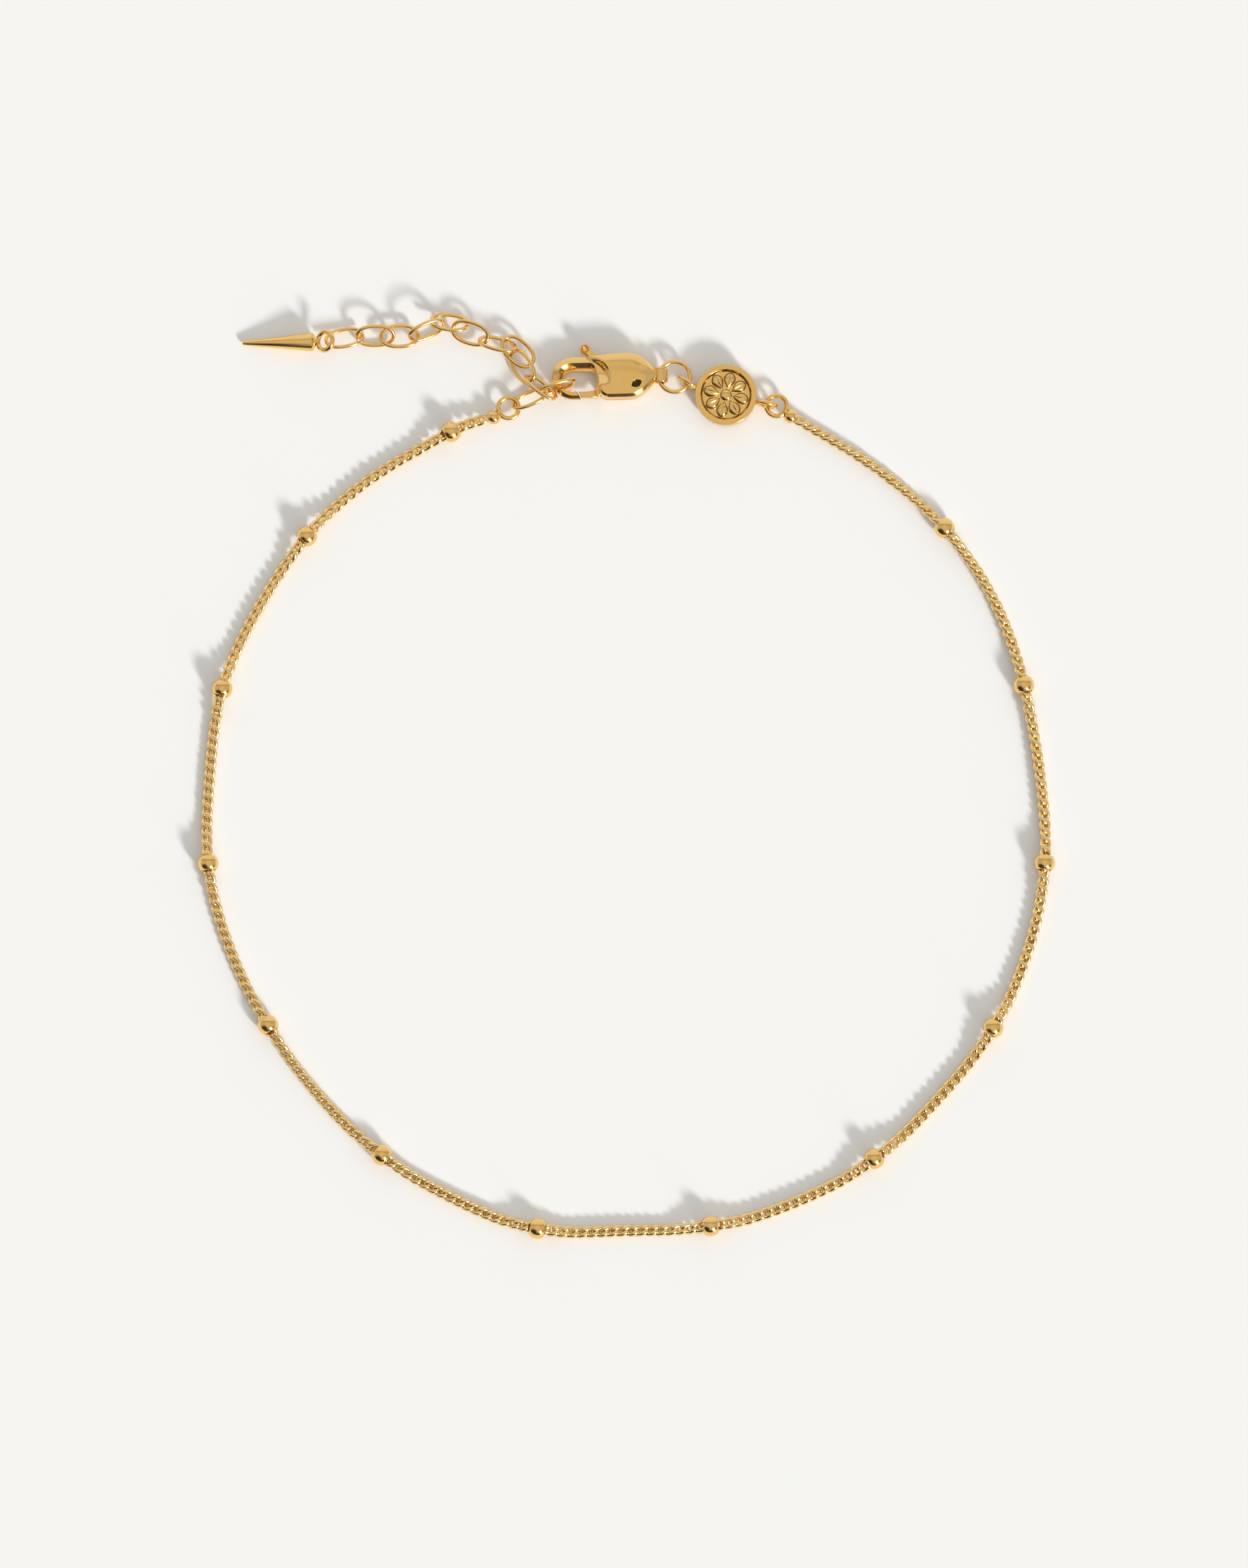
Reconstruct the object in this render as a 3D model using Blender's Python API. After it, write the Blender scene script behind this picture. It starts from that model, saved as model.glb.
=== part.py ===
"""Charm anklet: a beaded curb chain closed by a lobster clasp, with a tag, an extension chain and a spike.

Lengths are in metres, written as millimetres times MM. The anklet lies on the plane z = 0 as one closed loop,
with its clasp at the +Y side. Pieces that hang in each other are placed one after the other along the loop.
"""

import math

import bmesh
import bpy
import numpy as np
from mathutils import Matrix, Vector

MM = 0.001

# Curb chain, and the beads threaded on it
CHAIN_WIDTH = 0.95 * MM
CHAIN_STRAIGHT = 0.80 * MM
CHAIN_POINTS_APART = 2.65 * MM
BEAD_DIAMETER = 1.75 * MM
BEAD_LENGTH = 1.25 * MM
BEAD_RIM = 0.08 * MM
BORE_GAP = 0.10 * MM

# The loop's route in millimetres, from the left end ball on: the even places are beads, the odd ones lie between.
# The right end ball closes the route.
LOOP_ROUTE = (
    (-13.31, 30.29), (-15.15, 29.42), (-21.71, 25.62), (-27.38, 20.43), (-31.53, 14.21), (-34.57, 7.27),
    (-35.63, -0.17), (-35.75, -7.77), (-33.94, -14.96), (-30.68, -21.71), (-26.34, -27.72), (-21.02, -32.92),
    (-14.69, -36.70), (-7.81, -39.25), (-0.40, -39.35), (6.88, -39.03), (14.17, -36.84), (20.77, -33.24),
    (26.23, -27.93), (30.86, -21.96), (33.86, -15.06), (35.25, -7.74), (34.83, -0.01), (33.49, 7.58),
    (31.02, 14.81), (26.74, 21.12), (20.77, 26.44),
)
LEFT_RING = Vector((-10.25, 31.51, 0.72)) * MM

# End rings: a ring, a neck and a ball cap in one soldered piece
END_RING_DIAMETER = 2.15 * MM
END_RING_WIRE = 0.40 * MM
END_BALL_DIAMETER = 1.20 * MM
END_NECK_DIAMETER = 0.62 * MM
END_RING_TO_BALL = 1.50 * MM
CHAIN_END_GAP = 0.05 * MM
LEFT_RING_TURN = {"roll": -10, "tip": 2, "heading": 212}
RIGHT_RING_TURN = {"roll": 6, "tip": 6, "heading": -36}
RIGHT_RING_HEIGHT = 0.80 * MM

# Extension chain
LINK_LENGTH = 3.45 * MM
LINK_WIDTH = 2.20 * MM
LINK_WIRE = 0.34 * MM
LINK_POWER = 2.3
# How each link lies. step is the way from the link before, as a share of the links' full pitch, and bearing its
# direction. height is the link's middle over the floor, as a share of the link's width. Angles are in degrees.
LINK_COLUMNS = ("step", "bearing", "height", "roll", "tip", "heading")
LINK_POSES = (
    (0.715, 23.0, 0.427, -47, -10, 22),
    (0.875, 23.5, 0.514, 79, 0, 17),
    (0.480, 182.5, 0.591, 55, 10, 139),
    (0.876, 130.5, 0.432, -40, 14, 123),
    (0.478, 106.0, 0.464, 0, 0, 137),
    (0.663, 160.5, 0.564, 50, 8, 164),
    (0.910, 156.5, 0.409, -28, 6, 161),
    (0.716, 152.5, 0.386, 38, 0, 173),
    (0.734, 199.5, 0.455, -61, 0, 203),
    (0.866, 192.0, 0.364, 10, 0, 182),
    (0.735, 179.0, 0.364, -40, 0, 181),
    (0.949, 184.0, 0.355, 30, 0, 190),
)
HOOKED_LINK = "extension_link_02"

# Spike charm: a cone with a back cap and a soldered ring
SPIKE_LENGTH = 6.05 * MM
SPIKE_DIAMETER = 1.62 * MM
SPIKE_TIP_DIAMETER = 0.40 * MM
SPIKE_CAP_LENGTH = 0.42 * MM
SPIKE_CAP_DIAMETER = 0.95 * MM
SPIKE_RING_DIAMETER = 2.00 * MM
SPIKE_RING_WIRE = 0.42 * MM
SPIKE_RING_STEP = 1.62 * MM
SPIKE_RING_BEARING = 193
SPIKE_RING_TIP = 34
SPIKE_HEADING = 180

# Lobster clasp
CLASP_LENGTH = 9.00 * MM
CLASP_WIDTH = 3.80 * MM
CLASP_THICKNESS = 2.00 * MM
CLASP_HEADING = 1.5
HOOK_END_RADIUS = 1.80 * MM
HOOK_OPENING_LENGTH = 2.92 * MM
HOOK_OPENING_WIDTH = 2.28 * MM
HOOK_OPENING_CORNER = 0.90 * MM
HOOK_OPENING_FLARE = 0.34 * MM
HOOK_BAND = 0.91 * MM
# Sections of the clasp's body: along is a share of its length from the hook's end, middle and half_width are
# shares of its width, thickness is a share of its thickness. The edges are cut back by shares of the width, less on
# the gate's side than on the far one.
CLASP_COLUMNS = ("along", "middle", "half_width", "thickness")
CLASP_SECTIONS = (
    (0.200, -0.020, 0.474, 0.50),
    (0.333, -0.020, 0.474, 0.58),
    (0.400, -0.017, 0.476, 0.72),
    (0.455, -0.012, 0.482, 0.88),
    (0.520, -0.006, 0.492, 1.00),
    (0.620, 0.000, 0.500, 1.00),
    (0.700, 0.000, 0.500, 1.00),
    (0.785, 0.000, 0.479, 1.00),
    (0.852, 0.000, 0.403, 1.00),
    (0.911, 0.000, 0.297, 0.86),
    (0.967, 0.000, 0.163, 0.64),
    (1.000, 0.000, 0.110, 0.55),
)
HOOK_END_ANGLES = (8, 24, 42, 60, 76)
CLASP_EDGE_NEAR = 0.11
CLASP_EDGE_FAR = 0.18
CLASP_EDGE_DEPTH = 0.17
EYE_DIAMETER = 1.20 * MM
EYE_WALL = 0.17 * MM
EYE_LENGTH = 1.25 * MM
EYE_REACH = 0.25 * MM
# The hooked link's middle, seen from the hook's end
HOOKED_LINK_BEHIND = 0.37 * MM
HOOKED_LINK_ASIDE = -0.77 * MM

# The clasp's lever: outlines as shares of the clasp's length (from the hook's end) and width (from its middle)
LEVER_THICKNESS = 0.55 * MM
GATE_THICKNESS = 0.84 * MM
LEVER_GAP = 0.10 * MM
PIVOT_AT = (0.798, -0.210)
PIVOT_BOSS_RADIUS = 0.60 * MM
RIVET_DIAMETER = 0.64 * MM
RIVET_GAP = 0.05 * MM
RIVET_RECESS = 0.18 * MM
NUB_AT = (0.320, 0.640)
NUB_DIAMETER = 0.96 * MM
NUB_STEM_WIDTH = 0.62 * MM
GATE_OUTLINE = ((0.252, -0.330), (0.285, -0.478), (0.408, -0.478), (0.408, -0.330))
GATE_ARM_OUTLINE = (
    (0.380, -0.465), (0.440, -0.465), (0.474, -0.386), (0.772, -0.355), (0.772, -0.105), (0.483, -0.276), (0.380, -0.320),
)
NUB_ARM_OUTLINE = ((0.730, -0.170), (0.780, -0.052), (0.440, 0.520), (0.396, 0.400))
GATE_GAP_OUTLINE = (
    (0.231, -0.290), (0.277, -0.570), (0.462, -0.570), (0.462, -0.290), (0.418, -0.160), (0.380, -0.160), (0.360, -0.290),
)
SLOT_OUTLINE = (
    (0.380, -0.430), (0.744, -0.408), (0.830, -0.395), (0.872, -0.316), (0.880, -0.180), (0.855, -0.050), (0.670, 0.430),
    (0.670, 0.620), (0.325, 0.620), (0.362, 0.402), (0.468, 0.268), (0.468, 0.030), (0.380, 0.030),
)

# Jump ring between the clasp's eye and the tag
JUMP_RING_DIAMETER = 3.00 * MM
JUMP_RING_WIRE = 0.40 * MM
JUMP_RING_BEARING = -6
JUMP_RING_SLACK = 0.11 * MM

# Tag with a raised rim, a raised flower and two soldered eyes
TAG_DIAMETER = 5.20 * MM
TAG_THICKNESS = 0.90 * MM
TAG_HEIGHT = 1.00 * MM
TAG_RIM = 0.42 * MM
TAG_RELIEF = 0.24 * MM
TAG_PETALS = 8
TAG_PETAL_REACH = 0.80
TAG_CENTRE_SHARE = 0.22
TAG_FACE_SHARES = (0.04, 0.14, 0.22, 0.30, 0.40, 0.51, 0.62, 0.72, 0.80, 0.83, 0.87, 0.97)
TAG_EYE_DIAMETER = 1.98 * MM
TAG_EYE_WIRE = 0.36 * MM
TAG_EYE_SEAT = 0.10 * MM
TAG_EYE_BEARING = -26
TAG_LEFT_EYE_TURN = -19.5
TAG_RIGHT_EYE_TURN = 3.5
TAG_HEADING = -13.5
END_RING_BEARING = -6

# Facets
WIRE_SIDES = 6
LINK_STEPS = 16
RING_STEPS = 16
BEAD_SIDES = 16
SPIKE_SIDES = 16

GOLD = (0.83, 0.57, 0.22, 1.0)
GOLD_ROUGHNESS = 0.16


def build_gold():
    """A polished gold finish."""
    material = bpy.data.materials.new("gold")
    material.use_nodes = True
    shader = material.node_tree.nodes["Principled BSDF"]
    shader.inputs["Base Color"].default_value = GOLD
    shader.inputs["Metallic"].default_value = 1.0
    shader.inputs["Roughness"].default_value = GOLD_ROUGHNESS
    material.diffuse_color = GOLD
    return material


def turn(angle):
    """A turn about Z by an angle in degrees."""
    return Matrix.Rotation(math.radians(angle), 3, "Z")


def along(angle):
    """The level unit vector with this bearing in degrees."""
    return turn(angle) @ Vector((1, 0, 0))


def skin(rings, loop=False):
    """Vertices and faces of the surface through rings of equal length, capped at both ends unless it is a loop."""
    rings = [np.asarray(ring, dtype=float) for ring in rings]
    count, sides = len(rings), len(rings[0])
    vertices = np.concatenate(rings)
    faces = []
    for row in range(count if loop else count - 1):
        after = (row + 1) % count
        for side in range(sides):
            beside = (side + 1) % sides
            faces.append((row * sides + side, row * sides + beside, after * sides + beside, after * sides + side))
    if not loop:
        faces.append(tuple(range(sides)))
        faces.append(tuple((count - 1) * sides + side for side in range(sides)))
    return vertices, faces


def solid(name, rings, material, loop=False):
    """An object whose surface passes through the rings, with its faces pointing out."""
    vertices, faces = skin(rings, loop)
    mesh = bpy.data.meshes.new(name)
    mesh.from_pydata([tuple(vertex) for vertex in vertices], [], faces)
    shape = bmesh.new()
    shape.from_mesh(mesh)
    bmesh.ops.recalc_face_normals(shape, faces=shape.faces)
    shape.to_mesh(mesh)
    shape.free()
    mesh.shade_smooth()
    mesh.set_sharp_from_angle(angle=math.radians(40))
    mesh.materials.append(material)
    item = bpy.data.objects.new(name, mesh)
    bpy.context.collection.objects.link(item)
    return item


def place(item, location, roll=0, tip=0, heading=0):
    """Turn an object about its own X, then Y, then Z, and set it down at its location."""
    item.rotation_euler = [math.radians(angle) for angle in (roll, tip, heading)]
    item.location = location
    return item


def combine(item, other, operation):
    """Join or cut an object with a helper, which moves with it and is no piece of its own."""
    other.hide_render = True
    other.display_type = "WIRE"
    other.parent = item
    modifier = item.modifiers.new(operation.title(), "BOOLEAN")
    modifier.operation = operation
    modifier.object = other


def circle(radius, sides, start=0.0):
    """Points of a circle in its own plane."""
    angles = start + np.arange(sides) * 2 * math.pi / sides
    return radius * np.cos(angles), radius * np.sin(angles)


def wire_loop(half_length, half_width, wire, steps, power=2.0):
    """Rings of round wire bent to a closed oval in the XY plane: a superellipse of the given power."""
    angles = np.arange(steps) * 2 * math.pi / steps
    cosine, sine = np.cos(angles), np.sin(angles)
    x = half_length * np.sign(cosine) * np.abs(cosine) ** (2 / power)
    y = half_width * np.sign(sine) * np.abs(sine) ** (2 / power)
    tangent = np.stack([np.roll(x, -1) - np.roll(x, 1), np.roll(y, -1) - np.roll(y, 1)], axis=1)
    tangent /= np.linalg.norm(tangent, axis=1)[:, None]
    out, up = circle(wire / 2, WIRE_SIDES, math.pi / WIRE_SIDES)
    return [
        np.stack([cx + ty * out, cy - tx * out, up], axis=1)
        for cx, cy, (tx, ty) in zip(x, y, tangent)
    ]


def ring_wire(diameter, wire):
    """Rings of a round wire ring of this outer diameter, lying in the XY plane."""
    radius = (diameter - wire) / 2
    return wire_loop(radius, radius, wire, RING_STEPS)


def lathe(profile, sides):
    """Rings of a shape turned about X, from a profile of (place along X, radius)."""
    rings = []
    for x, radius in profile:
        y, z = circle(radius, sides)
        rings.append(np.stack([np.full(sides, x), y, z], axis=1))
    return rings


def ball(name, diameter, material):
    """A ball about the origin, with small flats at its two poles."""
    angles = np.radians(np.linspace(12, 168, 8))
    profile = [(-diameter / 2 * math.cos(angle), diameter / 2 * math.sin(angle)) for angle in angles]
    return solid(name, lathe(profile, RING_STEPS), material)


def prism(name, outline, low, high, material):
    """A plate with this outline between two heights."""
    rings = [[(x, y, z) for x, y in outline] for z in (low, high)]
    return solid(name, rings, material)


def cylinder(name, radius, low, high, material, sides=RING_STEPS):
    """An upright round bar between two heights."""
    x, y = circle(radius, sides)
    return prism(name, list(zip(x, y)), low, high, material)


def spline_through(points):
    """A natural cubic spline through points, as a function of the distance along their chords."""
    points = np.asarray(points, dtype=float)
    knots = np.concatenate([[0.0], np.cumsum(np.linalg.norm(np.diff(points, axis=0), axis=1))])
    count = len(points)
    spans = np.diff(knots)
    system, right = np.eye(count), np.zeros_like(points)
    for row in range(1, count - 1):
        before, after = spans[row - 1], spans[row]
        system[row, row - 1:row + 2] = before, 2 * (before + after), after
        right[row] = 6 * ((points[row + 1] - points[row]) / after - (points[row] - points[row - 1]) / before)
    bend = np.linalg.solve(system, right)

    def at(distance):
        row = int(np.clip(np.searchsorted(knots, distance) - 1, 0, count - 2))
        span = spans[row]
        ahead, behind = knots[row + 1] - distance, distance - knots[row]
        value = (bend[row] * ahead**3 + bend[row + 1] * behind**3) / (6 * span)
        value = value + (points[row] / span - bend[row] * span / 6) * ahead
        return value + (points[row + 1] / span - bend[row + 1] * span / 6) * behind

    return at, knots


def heading_of(at, distance):
    """The bearing in degrees of a route at a distance along it."""
    step = 0.05 * MM
    dx, dy = at(distance + step) - at(distance - step)
    return math.degrees(math.atan2(dy, dx))


def build_chain_and_beads(left_ball, right_ball, material):
    """The chain as a smooth tube along its route, straight through each bead, and the beads on it."""
    route = [left_ball.xy] + [Vector(point) * MM for point in LOOP_ROUTE] + [right_ball.xy]
    at, knots = spline_through(route)
    bead_height, chain_height = BEAD_DIAMETER / 2, CHAIN_WIDTH / 2
    chain_start = END_BALL_DIAMETER / 2 + CHAIN_END_GAP
    stops = [(knots[0] + chain_start, left_ball.z)]
    bead_places = knots[2:-1:2]
    for place_along in bead_places:
        stops.append((place_along - CHAIN_STRAIGHT, bead_height))
        stops.append((place_along + CHAIN_STRAIGHT, bead_height))
    stops.append((knots[-1] - chain_start, right_ball.z))
    points = []
    for (start, start_height), (end, end_height) in zip(stops[::2], stops[1::2]):
        spans = max(1, round((end - start) / CHAIN_POINTS_APART))
        for index in range(spans + 1):
            height = start_height if index == 0 else end_height if index == spans else chain_height
            points.append((*at(start + (end - start) * index / spans), height))
    curve = bpy.data.curves.new("curb_chain", "CURVE")
    curve.dimensions = "3D"
    curve.bevel_depth = CHAIN_WIDTH / 2
    curve.bevel_resolution = 2
    curve.use_fill_caps = True
    line = curve.splines.new("POLY")
    line.points.add(len(points) - 1)
    for point, position in zip(line.points, points):
        point.co = (*position, 1.0)
    curve.materials.append(material)
    bpy.context.collection.objects.link(bpy.data.objects.new("curb_chain", curve))
    mesh = build_bead_mesh(material)
    for number, place_along in enumerate(bead_places, start=1):
        item = bpy.data.objects.new(f"bead_{number:02d}", mesh)
        bpy.context.collection.objects.link(item)
        place(item, (*at(place_along), bead_height), heading=heading_of(at, place_along))


def build_bead_mesh(material):
    """One drilled rondelle along X: a rounded outside between two flat rims, and a bore clear of the chain."""
    bore = CHAIN_WIDTH / 2 + BORE_GAP
    rim = bore + BEAD_RIM
    last = math.radians(80)
    profile = [(BEAD_LENGTH / 2, bore), (-BEAD_LENGTH / 2, bore)]
    for angle in np.linspace(-last, last, 6):
        bulge = (math.cos(angle) - math.cos(last)) / (1 - math.cos(last))
        profile.append((BEAD_LENGTH / 2 * math.sin(angle) / math.sin(last), rim + (BEAD_DIAMETER / 2 - rim) * bulge))
    item = solid("bead", lathe(profile, BEAD_SIDES), material, loop=True)
    mesh = item.data
    bpy.data.objects.remove(item)
    return mesh


def build_end_ring(name, centre, pose, material):
    """A wire ring, a tapered neck and the ball cap of the chain's end, soldered into one. X points to the ball."""
    item = solid(name, ring_wire(END_RING_DIAMETER, END_RING_WIRE), material, loop=True)
    start = (END_RING_DIAMETER - END_RING_WIRE) / 2
    end = END_RING_TO_BALL
    neck = lathe([(start, END_RING_WIRE * 0.62), (end, END_NECK_DIAMETER / 2)], 12)
    combine(item, solid(name + "_neck", neck, material), "UNION")
    cap = ball(name + "_cap", END_BALL_DIAMETER, material)
    cap.location = (end, 0, 0)
    combine(item, cap, "UNION")
    place(item, centre, **pose)
    return end_ball_of(centre, pose)


def end_ball_of(centre, pose):
    """The middle of an end ring's ball cap."""
    tip = math.radians(pose["tip"])
    reach = Vector((math.cos(tip) * END_RING_TO_BALL, 0, -math.sin(tip) * END_RING_TO_BALL))
    return centre + turn(pose["heading"]) @ reach


def build_extension(material):
    """The twelve oval links, each hung in the one before. Returns the middle of each link by its name."""
    pitch = LINK_LENGTH - 2 * LINK_WIRE
    rings = wire_loop((LINK_LENGTH - LINK_WIRE) / 2, (LINK_WIDTH - LINK_WIRE) / 2, LINK_WIRE, LINK_STEPS, LINK_POWER)
    mesh = None
    middle = LEFT_RING.copy()
    middles = {}
    for number, row in enumerate(LINK_POSES, start=1):
        pose = dict(zip(LINK_COLUMNS, row))
        middle = middle + along(pose["bearing"]) * pitch * pose["step"]
        middle.z = LINK_WIDTH * pose["height"]
        name = f"extension_link_{number:02d}"
        if mesh is None:
            item = solid(name, rings, material, loop=True)
            mesh = item.data
        else:
            item = bpy.data.objects.new(name, mesh)
            bpy.context.collection.objects.link(item)
        place(item, middle, pose["roll"], pose["tip"], pose["heading"])
        middles[name] = middle.copy()
    return middles


def build_spike(last_link, material):
    """The cone lying on its side, with its back cap and the ring that the last link hangs in, soldered into one."""
    cone = [
        (SPIKE_LENGTH, SPIKE_TIP_DIAMETER / 4),
        (SPIKE_LENGTH - SPIKE_TIP_DIAMETER / 4, SPIKE_TIP_DIAMETER / 2),
        (0, SPIKE_DIAMETER / 2),
        (-SPIKE_CAP_LENGTH, SPIKE_CAP_DIAMETER / 2),
    ]
    item = solid("spike_charm", lathe(cone, SPIKE_SIDES), material)
    ring = solid("spike_ring", ring_wire(SPIKE_RING_DIAMETER, SPIKE_RING_WIRE), material, loop=True)
    combine(item, ring, "UNION")
    lean = math.degrees(math.atan2((SPIKE_DIAMETER - SPIKE_TIP_DIAMETER) / 2, SPIKE_LENGTH))
    ring_radius = (SPIKE_RING_DIAMETER - SPIKE_RING_WIRE) / 2
    ring_middle = last_link + along(SPIKE_RING_BEARING) * SPIKE_RING_STEP
    tilt = math.radians(SPIKE_RING_TIP)
    base = ring_middle + along(SPIKE_HEADING) * (ring_radius * math.cos(tilt) + SPIKE_CAP_LENGTH)
    base.z = SPIKE_DIAMETER / 2 / math.cos(math.radians(lean))
    ring.location = (-SPIKE_CAP_LENGTH - ring_radius * math.cos(tilt), 0, ring_radius * math.sin(tilt))
    ring.rotation_euler = (0, tilt, 0)
    place(item, base, tip=lean, heading=SPIKE_HEADING)


def clasp_point(share):
    """A point of the clasp's tables in its own plane: X from its middle to the eye, Y across."""
    return (share[0] * CLASP_LENGTH - CLASP_LENGTH * 0.489, share[1] * CLASP_WIDTH)


def clasp_outline(shares):
    """An outline given in shares of the clasp's length and width."""
    return [clasp_point(share) for share in shares]


def clasp_section(x, middle, half_width, thickness):
    """An eight-sided section across the clasp, with its edges cut back."""
    near = min(CLASP_EDGE_NEAR * CLASP_WIDTH, half_width * 0.45)
    far = min(CLASP_EDGE_FAR * CLASP_WIDTH, half_width * 0.45)
    high = thickness / 2
    side = high - min(CLASP_EDGE_DEPTH * CLASP_THICKNESS, thickness * 0.32)
    left, right = middle + half_width, middle - half_width
    upper = ((left, side), (left - far, high), (right + near, high), (right, side))
    return [(x, y, z) for y, z in upper] + [(x, y, -z) for y, z in reversed(upper)]


def rounded_box(length, width, corner, steps=4):
    """A rectangle with round corners about the origin."""
    points = []
    for quarter, (sx, sy) in enumerate(((1, 1), (-1, 1), (-1, -1), (1, -1))):
        for step in range(steps + 1):
            angle = math.radians(90 * (quarter + step / steps))
            x = sx * (length / 2 - corner) + corner * math.cos(angle)
            y = sy * (width / 2 - corner) + corner * math.sin(angle)
            points.append((x, y))
    return points


def build_clasp_body(location, material):
    """The clasp's body and hook as one loft, cut open for the hook, the gate and the lever, with its eye."""
    sections = []
    first = dict(zip(CLASP_COLUMNS, CLASP_SECTIONS[0]))
    start, middle = clasp_point((0, first["middle"]))
    for angle in HOOK_END_ANGLES:
        back = HOOK_END_RADIUS * (1 - math.cos(math.radians(angle)))
        half = HOOK_END_RADIUS * math.sin(math.radians(angle))
        sections.append(clasp_section(start + back, middle, half, first["thickness"] * CLASP_THICKNESS))
    for row in CLASP_SECTIONS:
        section = dict(zip(CLASP_COLUMNS, row))
        x, middle = clasp_point((section["along"], section["middle"]))
        half = section["half_width"] * CLASP_WIDTH
        sections.append(clasp_section(x, middle, half, section["thickness"] * CLASP_THICKNESS))
    item = solid("clasp_body", sections, material)
    end = clasp_point((1, 0))[0]
    eye_x, eye_y = circle(EYE_DIAMETER / 2, RING_STEPS)
    eye_middle = end + EYE_REACH
    eye = [[(eye_middle + x, side * EYE_LENGTH / 2, z) for x, z in zip(eye_x, eye_y)] for side in (-1, 1)]
    combine(item, solid("clasp_eye", eye, material), "UNION")
    hole = [
        [(eye_middle + x, side * EYE_LENGTH, z) for x, z in zip(*circle(EYE_DIAMETER / 2 - EYE_WALL, RING_STEPS))]
        for side in (-1, 1)
    ]
    combine(item, solid("clasp_eye_hole", hole, material), "DIFFERENCE")
    reach = CLASP_THICKNESS * 0.6
    middle = (start + HOOK_BAND + HOOK_OPENING_LENGTH / 2, first["middle"] * CLASP_WIDTH)
    rings = []
    for level, flare in ((-reach, 1), (-reach / 4, 0), (reach / 4, 0), (reach, 1)):
        grow = 2 * flare * HOOK_OPENING_FLARE
        corner = HOOK_OPENING_CORNER + grow / 2
        box = rounded_box(HOOK_OPENING_LENGTH + grow, HOOK_OPENING_WIDTH + grow, corner)
        rings.append([(middle[0] + x, middle[1] + y, level) for x, y in box])
    combine(item, solid("hook_opening", rings, material), "DIFFERENCE")
    gap = prism("gate_gap", clasp_outline(GATE_GAP_OUTLINE), -reach, reach, material)
    combine(item, gap, "DIFFERENCE")
    slot = LEVER_THICKNESS / 2 + LEVER_GAP
    combine(item, prism("lever_slot", clasp_outline(SLOT_OUTLINE), -slot, slot, material), "DIFFERENCE")
    hole = cylinder("rivet_hole", RIVET_DIAMETER / 2 + RIVET_GAP, -reach, reach, material)
    hole.location = (*clasp_point(PIVOT_AT), 0)
    combine(item, hole, "DIFFERENCE")
    place(item, location, heading=CLASP_HEADING)
    return eye_middle


def build_clasp_lever(pivot, material):
    """The lever about its pivot: gate, gate arm, boss, arm and thumb nub as one piece, drilled for the rivet."""
    at_x, at_y = clasp_point(PIVOT_AT)

    def about_pivot(shares):
        return [(x - at_x, y - at_y) for x, y in clasp_outline(shares)]

    half = LEVER_THICKNESS / 2
    item = cylinder("clasp_lever", PIVOT_BOSS_RADIUS, -half, half, material)
    combine(item, prism("gate_arm", about_pivot(GATE_ARM_OUTLINE), -half, half, material), "UNION")
    combine(item, prism("nub_arm", about_pivot(NUB_ARM_OUTLINE), -half, half, material), "UNION")
    gate = prism("gate", about_pivot(GATE_OUTLINE), -GATE_THICKNESS / 2, GATE_THICKNESS / 2, material)
    combine(item, gate, "UNION")
    nub_x, nub_y = about_pivot([NUB_AT])[0]
    stem_end = Vector(about_pivot([(0.420, 0.455)])[0])
    stem_way = (Vector((nub_x, nub_y)) - stem_end).normalized()
    side = Vector((-stem_way.y, stem_way.x)) * NUB_STEM_WIDTH / 2
    stem = [stem_end + side, stem_end - side, Vector((nub_x, nub_y)) - side, Vector((nub_x, nub_y)) + side]
    combine(item, prism("nub_stem", [tuple(point) for point in stem], -half, half, material), "UNION")
    nub = cylinder("nub", NUB_DIAMETER / 2, -GATE_THICKNESS / 2, GATE_THICKNESS / 2, material)
    nub.location = (nub_x, nub_y, 0)
    combine(item, nub, "UNION")
    hole = cylinder("lever_hole", RIVET_DIAMETER / 2 + RIVET_GAP, -CLASP_THICKNESS, CLASP_THICKNESS, material)
    combine(item, hole, "DIFFERENCE")
    place(item, pivot, heading=CLASP_HEADING)


def build_clasp(hooked_link, material):
    """The clasp, set so that its hook holds the hooked link. Returns the middle of its eye."""
    hook_end = clasp_point((0, 0))[0]
    location = hooked_link - turn(CLASP_HEADING) @ Vector((hook_end + HOOKED_LINK_BEHIND, HOOKED_LINK_ASIDE, 0))
    location.z = CLASP_THICKNESS / 2
    eye_middle = build_clasp_body(location, material)
    pivot = location + turn(CLASP_HEADING) @ Vector((*clasp_point(PIVOT_AT), 0))
    build_clasp_lever(pivot, material)
    reach = CLASP_THICKNESS / 2 - RIVET_RECESS
    rivet = cylinder("clasp_rivet", RIVET_DIAMETER / 2, -reach, reach, material, 12)
    place(rivet, pivot)
    return location + turn(CLASP_HEADING) @ Vector((eye_middle, 0, 0))


def build_jump_ring(eye, material):
    """The jump ring, lying level through the clasp's eye. Returns its middle."""
    radius = (JUMP_RING_DIAMETER - JUMP_RING_WIRE) / 2
    middle = eye + along(JUMP_RING_BEARING) * (radius - JUMP_RING_SLACK)
    ring = solid("jump_ring", ring_wire(JUMP_RING_DIAMETER, JUMP_RING_WIRE), material, loop=True)
    place(ring, middle)
    return middle


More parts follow.
